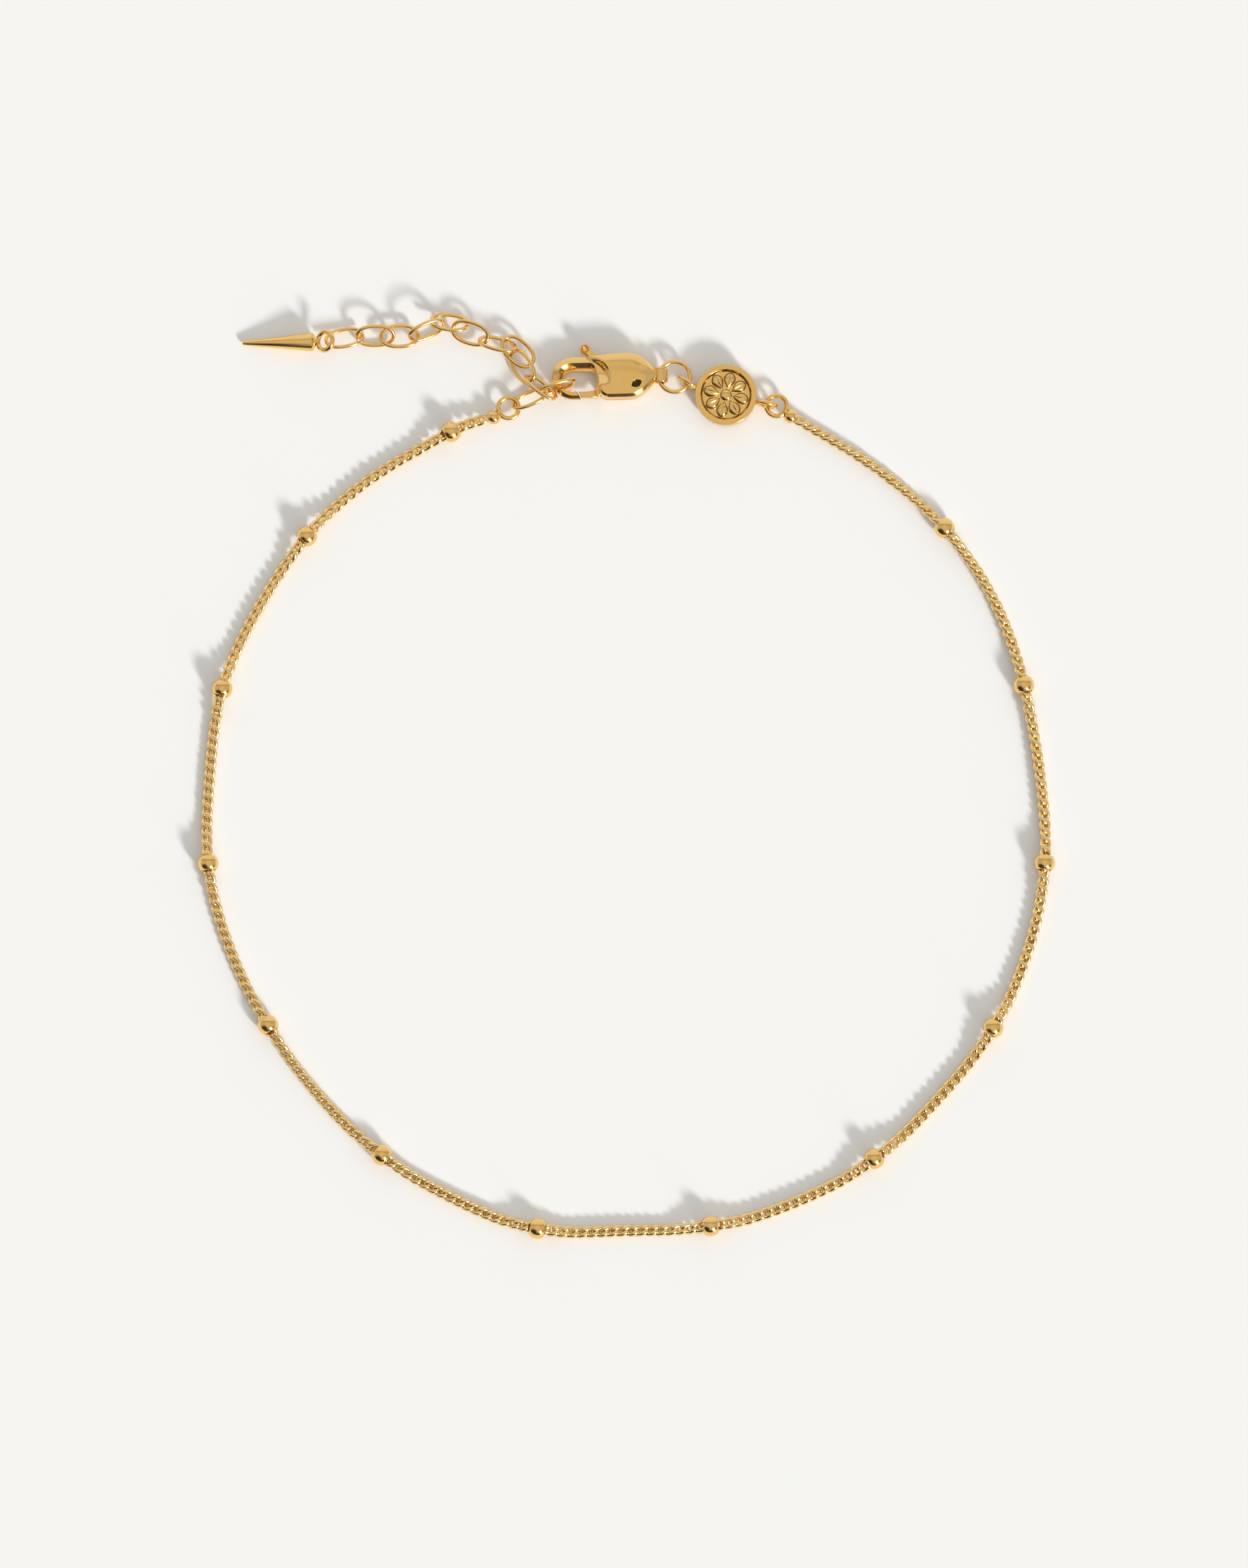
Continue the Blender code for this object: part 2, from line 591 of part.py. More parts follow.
def tag_height(share, angles):
    """Height of the tag's face over its field, at a share of its radius: a raised rim and a flower."""
    rim_start = 1 - TAG_RIM / (TAG_DIAMETER / 2)
    if share > rim_start:
        return np.full(len(angles), TAG_RELIEF)
    length = min(1.0, max(0.0, (share - TAG_CENTRE_SHARE) / (TAG_PETAL_REACH - TAG_CENTRE_SHARE)))
    petals = math.sin(math.pi * length) * (0.5 + 0.5 * np.cos(angles * TAG_PETALS))
    button = math.sqrt(max(0.0, 1 - (share / TAG_CENTRE_SHARE) ** 2))
    return TAG_RELIEF * np.maximum(petals, button)


def build_tag(jump_ring, material):
    """The tag, hung in the jump ring by one soldered eye. Returns the middle of its other eye."""
    sectors = TAG_PETALS * 6
    angles = np.arange(sectors) * 2 * math.pi / sectors
    half = TAG_THICKNESS / 2
    field = half - TAG_RELIEF
    face = [(share, field + tag_height(share, angles)) for share in TAG_FACE_SHARES]
    back = [(1.0, np.full(sectors, field)), (1.0, np.full(sectors, -half * 0.8))]
    back += [(share, np.full(sectors, -half)) for share in (0.95, 0.05)]
    rings = [
        np.stack([share * TAG_DIAMETER / 2 * np.cos(angles), share * TAG_DIAMETER / 2 * np.sin(angles), height], axis=1)
        for share, height in face + back
    ]
    item = solid("tag_disc", rings, material)
    eye_arm = (TAG_EYE_DIAMETER - TAG_EYE_WIRE) / 2
    seat = TAG_DIAMETER / 2 + TAG_EYE_WIRE / 2 - TAG_EYE_SEAT
    for side, eye_turn in ((-1, TAG_LEFT_EYE_TURN), (1, TAG_RIGHT_EYE_TURN)):
        eye = solid("tag_eye", ring_wire(TAG_EYE_DIAMETER, TAG_EYE_WIRE), material, loop=True)
        eye.location = (Vector((seat, 0, 0)) + along(eye_turn) * eye_arm) * side
        eye.rotation_euler = (math.pi / 2, 0, math.radians(eye_turn))
        combine(item, eye, "UNION")
    ring_radius = (JUMP_RING_DIAMETER - JUMP_RING_WIRE) / 2
    left_eye = jump_ring + along(TAG_EYE_BEARING) * (ring_radius - JUMP_RING_SLACK)
    middle = left_eye + along(TAG_HEADING + TAG_LEFT_EYE_TURN) * eye_arm + along(TAG_HEADING) * seat
    middle.z = TAG_HEIGHT
    place(item, middle, heading=TAG_HEADING)
    return middle + along(TAG_HEADING) * seat + along(TAG_HEADING + TAG_RIGHT_EYE_TURN) * eye_arm


def centre_assembly():
    """Shift every piece so that the middle of the anklet's base is the origin."""
    bpy.context.view_layer.update()
    graph = bpy.context.evaluated_depsgraph_get()
    corners = []
    for item in bpy.context.scene.objects:
        if not item.hide_render:
            shape = item.evaluated_get(graph)
            mesh = shape.to_mesh()
            corners += [shape.matrix_world @ vertex.co for vertex in mesh.vertices]
            shape.to_mesh_clear()
    corners = np.array(corners)
    low, high = corners.min(axis=0), corners.max(axis=0)
    shift = Vector(((low[0] + high[0]) / 2, (low[1] + high[1]) / 2, low[2]))
    for item in bpy.context.scene.objects:
        if item.parent is None:
            item.location = item.location - shift


def main():
    for item in list(bpy.context.scene.objects):
        bpy.data.objects.remove(item)
    material = build_gold()
    middles = build_extension(material)
    build_spike(middles[max(middles)], material)
    eye = build_clasp(middles[HOOKED_LINK], material)
    jump_ring = build_jump_ring(eye, material)
    right_eye = build_tag(jump_ring, material)
    ring_radius = (END_RING_DIAMETER - END_RING_WIRE) / 2
    right_ring = right_eye + along(END_RING_BEARING) * ring_radius
    right_ring.z = RIGHT_RING_HEIGHT
    left_ball = build_end_ring("end_ring_left", LEFT_RING, LEFT_RING_TURN, material)
    right_ball = build_end_ring("end_ring_right", right_ring, RIGHT_RING_TURN, material)
    build_chain_and_beads(left_ball, right_ball, material)
    centre_assembly()


main()
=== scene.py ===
"""The looks of the charm anklet: its curb chain link by link, and every other piece in polished gold.

Lengths are in metres, written as millimetres times MM. Pieces are worked out on grids of points and take
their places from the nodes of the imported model.
"""

import math

import bmesh
import bpy
import numpy as np
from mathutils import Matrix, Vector


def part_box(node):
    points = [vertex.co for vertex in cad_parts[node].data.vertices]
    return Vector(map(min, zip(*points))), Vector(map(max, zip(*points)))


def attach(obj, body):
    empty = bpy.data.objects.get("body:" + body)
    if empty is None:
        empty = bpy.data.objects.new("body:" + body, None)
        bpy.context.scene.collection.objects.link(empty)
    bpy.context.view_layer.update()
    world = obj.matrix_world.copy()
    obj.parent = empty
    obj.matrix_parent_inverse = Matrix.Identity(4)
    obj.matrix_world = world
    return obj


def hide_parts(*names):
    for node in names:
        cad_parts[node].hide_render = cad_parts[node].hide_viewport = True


bl_info = {
    "name": "Charm anklet",
    "version": (1, 0, 0),
    "blender": (4, 5, 0),
    "location": "View3D > Sidebar > Anklet",
    "description": "Builds the anklet's chain, beads, links, rings, spike, clasp and tag, and its stage",
    "category": "Object",
}

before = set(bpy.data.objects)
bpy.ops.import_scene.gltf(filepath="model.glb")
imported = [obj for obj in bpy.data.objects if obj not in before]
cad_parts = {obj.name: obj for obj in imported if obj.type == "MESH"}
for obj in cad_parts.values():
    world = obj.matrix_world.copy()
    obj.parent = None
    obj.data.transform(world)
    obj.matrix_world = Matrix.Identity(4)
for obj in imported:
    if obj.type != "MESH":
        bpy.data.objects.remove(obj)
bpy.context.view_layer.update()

MM = 0.001
ANKLET = "anklet"
LEVER = "lever"

# Lengths below are in millimetres and angles in degrees.

# Curb chain: how each of its stretches is rolled about its run, from the left end to the right end
CURB_ROLLS = (28, 30, 32, 34, 56, 22, 6, 2, 4, 8, 30, 34, 36, 52)
CURB_LOOSE_ROLL = 5
CURB_END_GAP = 0.42
CURB_SEED = 5
# The tube's rings of corners lie farther apart than this.
CURB_RING_GAP = 0.45
# The depth of a curb link as a share of its width, the power of its oval, and the radius of its six-sided
# wire as a share of the wire's thickness, so that it looks as thick as a round one
CURB_DEPTH = 0.76
CURB_POWER = 2.6
CURB_WIRE_RADIUS = 0.53
CURB_STEPS = 14
CURB_SIDES = 6

# Beads: the wall at a bead's ends, the power that draws them in, and how its bore widens at the mouths, as
# shares of the half length and growth of the radius
BEAD_WALL = 0.04
BEAD_POWER = 1.5
BEAD_MOUTH = ((0.995, 0.03), (0.97, 0.01), (0.92, 0.0), (0.5, 0.0), (0.0, 0.0))

# End rings: the ring, then places along the axis and radii of the neck, the ball and its tail
END_RING_RADIUS = 0.875
END_RING_WIRE = 0.40
END_NECK = ((0.80, 0.0), (0.80, 0.22), (0.98, 0.27), (1.02, 0.33), (1.08, 0.34), (1.13, 0.30))
END_BALL_PLACE = 1.50
END_BALL_RADIUS = 0.60
END_BALL_ARC = (148, 12)
END_TAIL = ((2.10, 0.11), (2.11, 0.0))

# Oval links of the extension
LINK_POWER = 2.3
LINK_SIDES = 14

# Clasp, in its own plane: X from the middle of its length to the eye, Y across it to the nub's side
CLASP_HEADING = 1.5
CLASP_PIVOT = (2.781, -0.798)
HOOK_CENTRE = (-2.601, -0.076)
HOOK_RADIUS = 1.80
# Outline of the body behind the hook: place along the clasp, middle and half width across it
BODY_STATIONS = (
    (-2.601, -0.076, 1.801), (-1.404, -0.076, 1.801), (-0.801, -0.065, 1.809), (-0.306, -0.046, 1.832),
    (0.279, -0.023, 1.87), (1.179, 0, 1.9), (1.899, 0, 1.9), (2.664, 0, 1.82),
    (3.267, 0, 1.531), (3.798, 0, 1.129), (4.302, 0, 0.619), (4.599, 0, 0.3),
)
SPINE_END = 4.5
# The bevel at the near and the far edge: its width, depth and power, the most it takes of the way to the
# spine and of the half thickness, and the places of its rows and of the flat's
BEVEL_WIDTH = (0.27, 0.80)
BEVEL_DEPTH = (0.26, 0.34)
BEVEL_POWER = (1.2, 1.8)
BEVEL_MOST_WIDTH = 0.55
BEVEL_MOST_DEPTH = 0.62
BEVEL_ROWS = (0, 0.04, 0.1, 0.2, 0.35, 0.5, 0.65, 0.74, 0.82, 0.88, 0.94, 1.0)
FLAT_ROWS = (0.03, 0.06, 0.09, 0.12, 0.16, 0.2, 0.26, 0.34, 0.44, 0.55, 0.66, 0.78, 0.9, 1.0)
# The crease where the far bevel meets the flat: its depth, how wide it goes down and how wide it comes up
# again, and where along the clasp it sets in
CREASE_DEPTH = 0.06
CREASE_WIDTH = 0.18
CREASE_FADE = 1.1
CREASE_START = (-0.1, 0.8)
# Outline of the hook's opening, its gate gap and the body's corner, with how far each is rounded
OPENING_OUTLINE = (
    (-3.38, -1.22, 0.85), (-2.32, -1.22, 0.12), (-1.90, -2.02, 0.05), (-1.70, -2.60, 0.05),
    (0.75, -2.60, 0.05), (0.70, -1.94, 0.10), (-0.44, -1.88, 0.93), (-0.58, 0.52, 0.80), (-3.38, 0.52, 0.85),
)
# The slopes round the opening, at the body's near corner and along the gate gap: depth under the face and
# growth outwards
SLOPES = (
    ((-0.30, 0.84), (0.00, 0.71), (0.35, 0.27), (0.45, 0.19), (0.60, 0.10), (0.80, 0.02), (0.92, 0.0)),
    ((-0.25, 0.52), (0.00, 0.28), (0.24, 0.05), (0.30, 0.02), (0.36, 0.0), (0.60, 0.0), (0.92, 0.0)),
    ((-0.25, 0.33), (0.00, 0.10), (0.06, 0.04), (0.10, 0.01), (0.16, 0.0), (0.50, 0.0), (0.92, 0.0)),
)
# The share by which the opening's slope is narrower on the body's side
BODY_SIDE_LESS = 0.82
# Where the slopes blend: across the clasp into the opening's, along it into the corner's, and along it
# where the corner's fades
WIDE_FROM = (-1.15, -0.60)
CORNER_FROM = (-1.40, -1.00)
CORNER_FADE = (0.05, 0.60)
# The chamfer under the opening, how far its cutter widens below that, and the cutter's half height
UNDER_EDGE = 0.06
CUTTER_BEYOND = 0.25
CUTTER_HALF = 1.50
# The step where the clasp's faces rise from the thin hook to the thick body: at places across the clasp,
# how far along it the step's middle is and half the way that it takes
STEP_FRONT = (
    (-1.90, 0.34, 0.34), (-0.40, 0.36, 0.34), (0.00, 0.36, 0.33), (0.30, 0.31, 0.32), (0.67, 0.13, 0.34),
    (1.18, -0.42, 0.42), (1.50, -0.88, 0.60), (1.90, -1.22, 1.20),
)
# The rise up to the body's near corner: from where to where across the clasp, and along it
CORNER_RISE = ((0.25, -0.85), (-1.70, -1.20))
HOOK_HALF = 0.50
BODY_HALF = 1.00
# Half thickness towards the eye: place along the clasp and half thickness
TAIL_STATIONS = ((2.60, 1.00), (3.267, 0.98), (3.798, 0.86), (4.302, 0.64), (4.70, 0.50))
# The lever's slot
SLOT_OUTLINE = (
    (-0.98, -1.63), (2.30, -1.55), (3.07, -1.50), (3.45, -1.20), (3.52, -0.68), (3.29, -0.19), (1.63, 1.63),
    (1.63, 2.36), (-1.48, 2.36), (-1.14, 1.53), (-0.19, 1.02), (-0.19, 0.11), (-0.98, 0.11),
)
SLOT_HALF = 0.375
SLOT_ROUNDING = 0.08
# Points that lie closer than these after a cut are merged, and thinner slivers go
CUT_MERGE = 0.006
CUT_SLIVER = 0.004
CASE_SHARP = 50
EYE_CENTRE = 4.849
EYE_RADIUS = 0.60
EYE_WALL = 0.17
EYE_LENGTH = 1.25
# The rivet: its leaf-shaped head, its hole's room and chamfer, and its profile as shares and heights
RIVET_LENGTH = 0.44
RIVET_WIDTH = 0.30
RIVET_TURN = 25
RIVET_ROOM = 1.04
RIVET_CHAMFER = 0.03
RIVET_PROFILE = (
    (0.0, 0.86), (0.3, 0.865), (0.6, 0.89), (0.85, 0.94), (0.96, 0.955), (1.0, 0.94), (1.0, 0.90),
)
# Lever: the gate with its arm, as points of its far and its near edge, and the outline of the nub's arm
GATE_EDGES = (
    (-2.12, -1.27, -1.85, -1.81), (-1.55, -1.26, -1.45, -1.81), (-1.05, -1.22, -1.05, -1.81),
    (-0.82, -1.12, -0.74, -1.80), (-0.62, -0.86, -0.50, -1.72), (-0.30, -0.66, -0.20, -1.52),
    (0.50, -0.62, 0.50, -1.42), (1.50, -0.60, 1.50, -1.36), (2.60, -0.45, 2.60, -1.25),
)
GATE_HALF = 0.41
# Where the gate thins to its arm, how far its ends bulge and to what share they are drawn in
GATE_THINNING = (-1.00, -0.60)
GATE_END_PUSH = 0.05
GATE_END_SHARE = 0.93
ARM_HALF = 0.27
ARM_EDGE = 0.04
NUB_ARM_OUTLINE = ((2.20, -0.62), (2.60, -0.22), (-0.44, 1.96), (-0.84, 1.52))
NUB_ARM_ROUNDING = 0.10
BOSS_RADIUS = 0.59
NUB_CENTRE = (-1.521, 2.400)
NUB_RADIUS = 0.46
NUB_STEM_END = (-0.62, 1.46)
NUB_STEM_HALF = 0.36
NUB_STEM_FLARE = 0.26
NUB_DISH_RADIUS = 0.35
NUB_DISH_DEPTH = 0.33

# Spike: the cone with its rounded nose, how far its base is drawn in, and the cap behind it, as places
# along the axis and radii
SPIKE_LENGTH = 6.05
SPIKE_DIAMETER = 1.62
SPIKE_TIP = 0.40
SPIKE_NOSE_LENGTH = 0.17
SPIKE_NOSE_RADIUS = 0.19
SPIKE_BASE = ((0.12, 0.015), (0.05, 0.03), (0.0, 0.09))
SPIKE_CAP = (
    (-0.10, 0.62), (-0.14, 0.60), (-0.16, 0.46), (-0.22, 0.44), (-0.36, 0.46), (-0.42, 0.40), (-0.44, 0.0),
)
SPIKE_CAP_LENGTH = 0.42
SPIKE_RING = 2.00
SPIKE_RING_WIRE = 0.42
SPIKE_RING_TIP = 34

# Tag: its edge, wall, button and the petals' start and end are shares of its radius, the petals' and the
# grooves' widths shares of a petal's room, and the grooves' depth a share of the relief
TAG_RADIUS = 2.60
TAG_HALF = 0.45
TAG_HEADING = -13.5
TAG_STEPS = 240
TAG_EDGE = 0.015
TAG_EDGE_DEPTH = 0.04
TAG_RIM = 0.42
TAG_RELIEF = 0.24
TAG_WALL = 0.07
TAG_BUTTON = 0.19
TAG_PETALS = 8
TAG_PETAL_START = 0.22
TAG_PETAL_END = 0.76
TAG_PETAL_WIDTH = 0.94
TAG_GROOVE_DEPTH = 0.22
TAG_GROOVE_WIDTH = 0.10
TAG_EYE_RADIUS = 0.99
TAG_EYE_WIRE = 0.36
# How much painted shade browns the tag at shares of the way from its field to its face, darkest low on the
# sides of its recesses
TAG_WALL_SHADE_STOPS = ((0.0, 0.0), (0.06, 0.0), (0.16, 0.9), (0.45, 0.6), (0.75, 0.0))
TAG_SHADE_BROWN = (0.16, 0.08, 0.025, 1.0)

# The rivet's painted shade: two near-black tones that stand for the shade in its recessed head, and how fine
# their patches are
RIVET_SHADE_TONES = ((0.03, 0.018, 0.007, 1.0), (0.11, 0.065, 0.025, 1.0))
RIVET_SHADE_PATCHES = 6000.0

# How deep the fine marks of the gold's polish are
MARK_DEPTH = 0.002

# The camera and the key light; distances and the floor's reach are in metres
CAMERA_ELEVATION = 80
CAMERA_DISTANCE = 1.2
PICTURE_HEIGHT = 133.09
PICTURE_CENTRE = (-0.212, -0.604)
FLOOR_REACH = 3.0
KEY_BEARING = -54
KEY_ELEVATION = 25.5
KEY_DISTANCE = 0.60
KEY_ANGLE = 9
KEY_STRENGTH = 2.5
# The tall bright panel round the key: how far aside of the key's bearing it fades, and how high up
PANEL_SIDE = (0.24, 0.12)
PANEL_TOP = (0.78, 0.64)
PANEL_LIGHT = (2.4, 2.4, 2.4, 1.0)
# The soft light behind the anklet, along Y, the darkness before it, and the warmer light overhead
SKY_STOPS = ((0.0, 0.58), (0.30, 0.58), (0.46, 0.37), (0.62, 0.79), (1.0, 0.87))
DARK = (0.045, 0.038, 0.035, 1.0)
OVERHEAD = (1.24, 1.16, 1.00, 1.0)
# What lies under the horizon is as pale as the lit floor.
GROUND = (0.93, 0.925, 0.91, 1.0)


class AnkletSizes(bpy.types.PropertyGroup):
    """Sizes of the anklet's repeated pieces."""

    curb_pitch: bpy.props.FloatProperty(
        name="Curb pitch", description="Way from one curb link to the next",
        default=0.838 * MM, unit="LENGTH")
    curb_width: bpy.props.FloatProperty(
        name="Curb width", description="Width of the curb chain where it lies flat",
        default=1.04 * MM, unit="LENGTH")
    curb_wire: bpy.props.FloatProperty(
        name="Curb wire", description="Thickness of the curb links' wire",
        default=0.385 * MM, unit="LENGTH")
    curb_twist: bpy.props.FloatProperty(
        name="Curb twist", description="Turn of each end of a curb link",
        default=math.radians(-64), subtype="ANGLE")
    bead_diameter: bpy.props.FloatProperty(
        name="Bead diameter", description="Outer diameter of a bead", default=1.75 * MM, unit="LENGTH")
    bead_length: bpy.props.FloatProperty(
        name="Bead length", description="Length of a bead along the chain",
        default=1.25 * MM, unit="LENGTH")
    bead_bore: bpy.props.FloatProperty(
        name="Bead bore", description="Diameter of a bead's bore", default=1.14 * MM, unit="LENGTH")


class AnkletColours(bpy.types.PropertyGroup):
    """Colours of the gold and the floor."""

    gold: bpy.props.FloatVectorProperty(
        name="Gold", description="Colour of the polished gold", subtype="COLOR", size=4,
        default=(0.95, 0.64, 0.25, 1.0), min=0, max=1)
    deep_gold: bpy.props.FloatVectorProperty(
        name="Deep gold", description="Colour of the gold's warmer patches", subtype="COLOR", size=4,
        default=(0.92, 0.58, 0.19, 1.0), min=0, max=1)
    # Painted sheen: a paler copy of the gold, mixed into the curb chain's colour to stand for its brighter
    # highlights
    sheen_gold: bpy.props.FloatVectorProperty(
        name="Pale gold", description="Colour of the curb chain's lighter patches", subtype="COLOR", size=4,
        default=(1.0, 0.77, 0.39, 1.0), min=0, max=1)
    floor: bpy.props.FloatVectorProperty(
        name="Floor", description="Colour of the floor", subtype="COLOR", size=4,
        default=(0.97, 0.972, 0.966, 1.0), min=0, max=1)


def node_points(node):
    """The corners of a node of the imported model, each once."""
    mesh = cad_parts[node].data
    points = np.empty(len(mesh.vertices) * 3)
    mesh.vertices.foreach_get("co", points)
    return np.unique(np.round(points.reshape(-1, 3), 7), axis=0)


def unit(vectors):
    """The vectors, each divided by its length."""
    return vectors / np.linalg.norm(vectors, axis=-1, keepdims=True)


def lie_of(points):
    """Middle, axes and half sizes of points: the axes run where they spread most, less and least."""
    middle = points.mean(axis=0)
    axes = np.linalg.eigh(np.cov((points - middle).T))[1][:, ::-1].T
    axes[0] *= np.sign(axes[0, 0])
    axes[2] *= np.sign(axes[2, 2])
    axes[1] = np.cross(axes[2], axes[0])
    reach = (points - middle) @ axes.T
    low, high = reach.min(axis=0), reach.max(axis=0)
    return middle + (low + high) / 2 @ axes, axes, (high - low) / 2


def ease(value, start=0, end=1):
    """The share s of the way from start to end, kept from 0 to 1, as s^2 (3 - 2s)."""
    share = np.clip((value - start) / (end - start), 0, 1)
    return share**2 * (3 - 2 * share)


def smooth_through(knots, values, places):
    """Values at places on the natural cubic spline through the knots: a cubic in each span, whose slope and
    bend agree with its neighbours' at the knots."""
    knots = np.asarray(knots, dtype=float)
    values = np.asarray(values, dtype=float).reshape(len(knots), -1)
    spans = np.diff(knots)
    inner = np.arange(1, len(knots) - 1)
    system = np.eye(len(knots))
    system[inner, inner - 1] = spans[:-1]
    system[inner, inner] = 2 * (spans[:-1] + spans[1:])
    system[inner, inner + 1] = spans[1:]
    right = np.zeros_like(values)
    right[1:-1] = 6 * np.diff(np.diff(values, axis=0) / spans[:, None], axis=0)
    bend = np.linalg.solve(system, right)
    row = np.clip(np.searchsorted(knots, places) - 1, 0, len(knots) - 2)
    span = spans[row][:, None]
    ahead = (knots[row + 1] - places)[:, None]
    behind = (places - knots[row])[:, None]
    result = (bend[row] * ahead**3 + bend[row + 1] * behind**3) / (6 * span)
    result += (values[row] / span - bend[row] * span / 6) * ahead
    result += (values[row + 1] / span - bend[row + 1] * span / 6) * behind
    return result


def at_stations(stations, places):
    """Values at places, kept within the stations, on the smooth curves through stations (place, values)."""
    stations = np.array(stations)
    places = np.clip(places, *stations[[0, -1], 0])
    return smooth_through(stations[:, 0], stations[:, 1:], places.ravel()).T.reshape(-1, *places.shape)


def oval(half_x, half_y, power=2, steps=64):
    """Points x = half_x |cos|^(2/power) and y = half_y |sin|^(2/power), with their signs; power is one number
    or one each for x and y."""
    angles = np.arange(steps) * 2 * math.pi / steps
    cosine, sine = np.cos(angles), np.sin(angles)
    power_x, power_y = np.broadcast_to(power, 2)
    x = half_x * np.sign(cosine) * np.abs(cosine) ** (2 / power_x)
    return x, half_y * np.sign(sine) * np.abs(sine) ** (2 / power_y)


def raised(plan, height):
    """Points (x, y) of a plan with their heights."""
    height = np.broadcast_to(height, plan.shape[:-1])
    return np.concatenate([plan, height[..., None]], axis=-1)


def shell(points, rows_close=False):
    """Corners and faces of grids of points, (..., rows, columns, 3): each face joins a point to the next in
    its row and its column, and each row closes on itself."""
    rows, columns = points.shape[-3:-1]
    row = np.arange(rows if rows_close else rows - 1)[:, None]
    column = np.arange(columns)[None, :]
    after_row, after_column = (row + 1) % rows, (column + 1) % columns
    faces = np.stack([
        row * columns + column, row * columns + after_column,
        after_row * columns + after_column, after_row * columns + column,
    ], axis=-1).reshape(-1, 4)
    count = points.size // (rows * columns * 3)
    faces = faces[None] + (np.arange(count) * rows * columns)[:, None, None]
    return points.reshape(-1, 3), faces.reshape(-1, 4)


def make_mesh(name, shells, sharp=35):
    """One mesh of several shells, with its poles merged and its ends closed, its faces pointing out and its
    sharp edges marked."""
    starts = np.cumsum([0] + [len(corners) for corners, faces in shells])
    corners = np.concatenate([corners for corners, faces in shells])
    faces = np.concatenate([item[1] + start for item, start in zip(shells, starts)])
    mesh = bpy.data.meshes.new(name)
    mesh.vertices.add(len(corners))
    mesh.vertices.foreach_set("co", corners.ravel())
    mesh.loops.add(faces.size)
    mesh.loops.foreach_set("vertex_index", faces.ravel().astype(np.int32))
    mesh.polygons.add(len(faces))
    mesh.polygons.foreach_set("loop_start", np.arange(len(faces), dtype=np.int32) * 4)
    mesh.update(calc_edges=True)
    shape = bmesh.new()
    shape.from_mesh(mesh)
    bmesh.ops.remove_doubles(shape, verts=shape.verts, dist=0.0001 * MM)
    bmesh.ops.holes_fill(shape, edges=shape.edges, sides=0)
    bmesh.ops.recalc_face_normals(shape, faces=shape.faces)
    shape.to_mesh(mesh)
    shape.free()
    mesh.shade_smooth()
    mesh.set_sharp_from_angle(angle=math.radians(sharp))
    return mesh


def add_object(name, data):
    """A new object in the scene."""
    item = bpy.data.objects.new(name, data)
    bpy.context.scene.collection.objects.link(item)
    return item


def add_piece(name, shape, material, body, *nodes):
    """An object of shells or of a mesh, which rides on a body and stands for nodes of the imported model."""
    mesh = make_mesh(name, shape) if isinstance(shape, list) else shape
    piece = add_object(name, mesh)
    mesh.materials.clear()
    mesh.materials.append(material)
    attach(piece, body)
    if nodes:
        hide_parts(*nodes)
    return piece


def wire_along(path, outward, radius, sides):
    """A round wire along closed paths, (..., steps, 3): each section is path + radius * (cos * side + sin *
    up), with side square to the path and nearest to outward, and up square to both."""
    tangent = unit(np.roll(path, -1, axis=-2) - np.roll(path, 1, axis=-2))
    side = unit(outward - (outward * tangent).sum(axis=-1, keepdims=True) * tangent)
    up = np.cross(tangent, side)
    cosine, sine = oval(1, 1, steps=sides)
    section = cosine[:, None] * side[..., None, :] + sine[:, None] * up[..., None, :]
    return path[..., None, :] + radius * section


def oval_wire(middle, axes, half_length, half_width, wire, power=2, sides=16):
    """A closed link or ring of wire along an oval of the power."""
    x, y = oval(half_length, half_width, power)
    outward = x[:, None] * axes[0] + y[:, None] * axes[1]
    return shell(wire_along(middle + outward, outward, wire / 2, sides), rows_close=True)


def lathe(start, axis, reach, radius, sides=64, close=False):
    """A shape turned about an axis: start + reach * axis + radius * (cos u + sin v), u and v square to it."""
    axis = unit(np.asarray(axis, dtype=float))
    u = unit(np.cross(axis, (0.12, 0.34, 0.93)))
    cosine, sine = oval(1, 1, steps=sides)
    around = cosine[:, None] * u + sine[:, None] * np.cross(axis, u)
    reach, radius = np.asarray(reach)[:, None, None], np.asarray(radius)[:, None, None]
    return shell(start + reach * axis + radius * around, rows_close=close)


def round_corners(corners, steps):
    """A closed outline whose corners (x, y, cut) are curves (1-t)^2 a + 2t(1-t) corner + t^2 b, with a and b
    on the corner's two sides at the distance cut."""
    corners = np.asarray(corners, dtype=float)
    point, cut = corners[:, None, :2], corners[:, None, 2:]
    before = point + unit(np.roll(point, 1, axis=0) - point) * cut
    after = point + unit(np.roll(point, -1, axis=0) - point) * cut
    t = np.linspace(0, 1, steps)[None, :, None]
    return ((1 - t) ** 2 * before + 2 * t * (1 - t) * point + t**2 * after).reshape(-1, 2)


def even_outline(points, count):
    """A closed outline through the points, running anticlockwise in equal steps."""
    loop = np.vstack([points, points[:1]])
    area = (loop[:-1, 0] * loop[1:, 1] - loop[1:, 0] * loop[:-1, 1]).sum()
    loop = loop if area > 0 else loop[::-1]
    lengths = np.concatenate([[0], np.cumsum(np.linalg.norm(np.diff(loop, axis=0), axis=1))])
    places = np.arange(count) * lengths[-1] / count
    return np.stack([np.interp(places, lengths, loop[:, axis]) for axis in (0, 1)], axis=1)


def outward_of(outline):
    """Unit vectors square to a closed outline that runs anticlockwise, pointing out."""
    tangent = unit(np.roll(outline, -1, axis=0) - np.roll(outline, 1, axis=0))
    return np.stack([tangent[:, 1], -tangent[:, 0]], axis=1)


def prism(outline, growth, heights):
    """The sides of a column on an outline: at each height the outline grows outwards by growth, with both
    given as (levels, points) or (levels, 1)."""
    return raised(outline[None] + growth[..., None] * outward_of(outline)[None], heights)


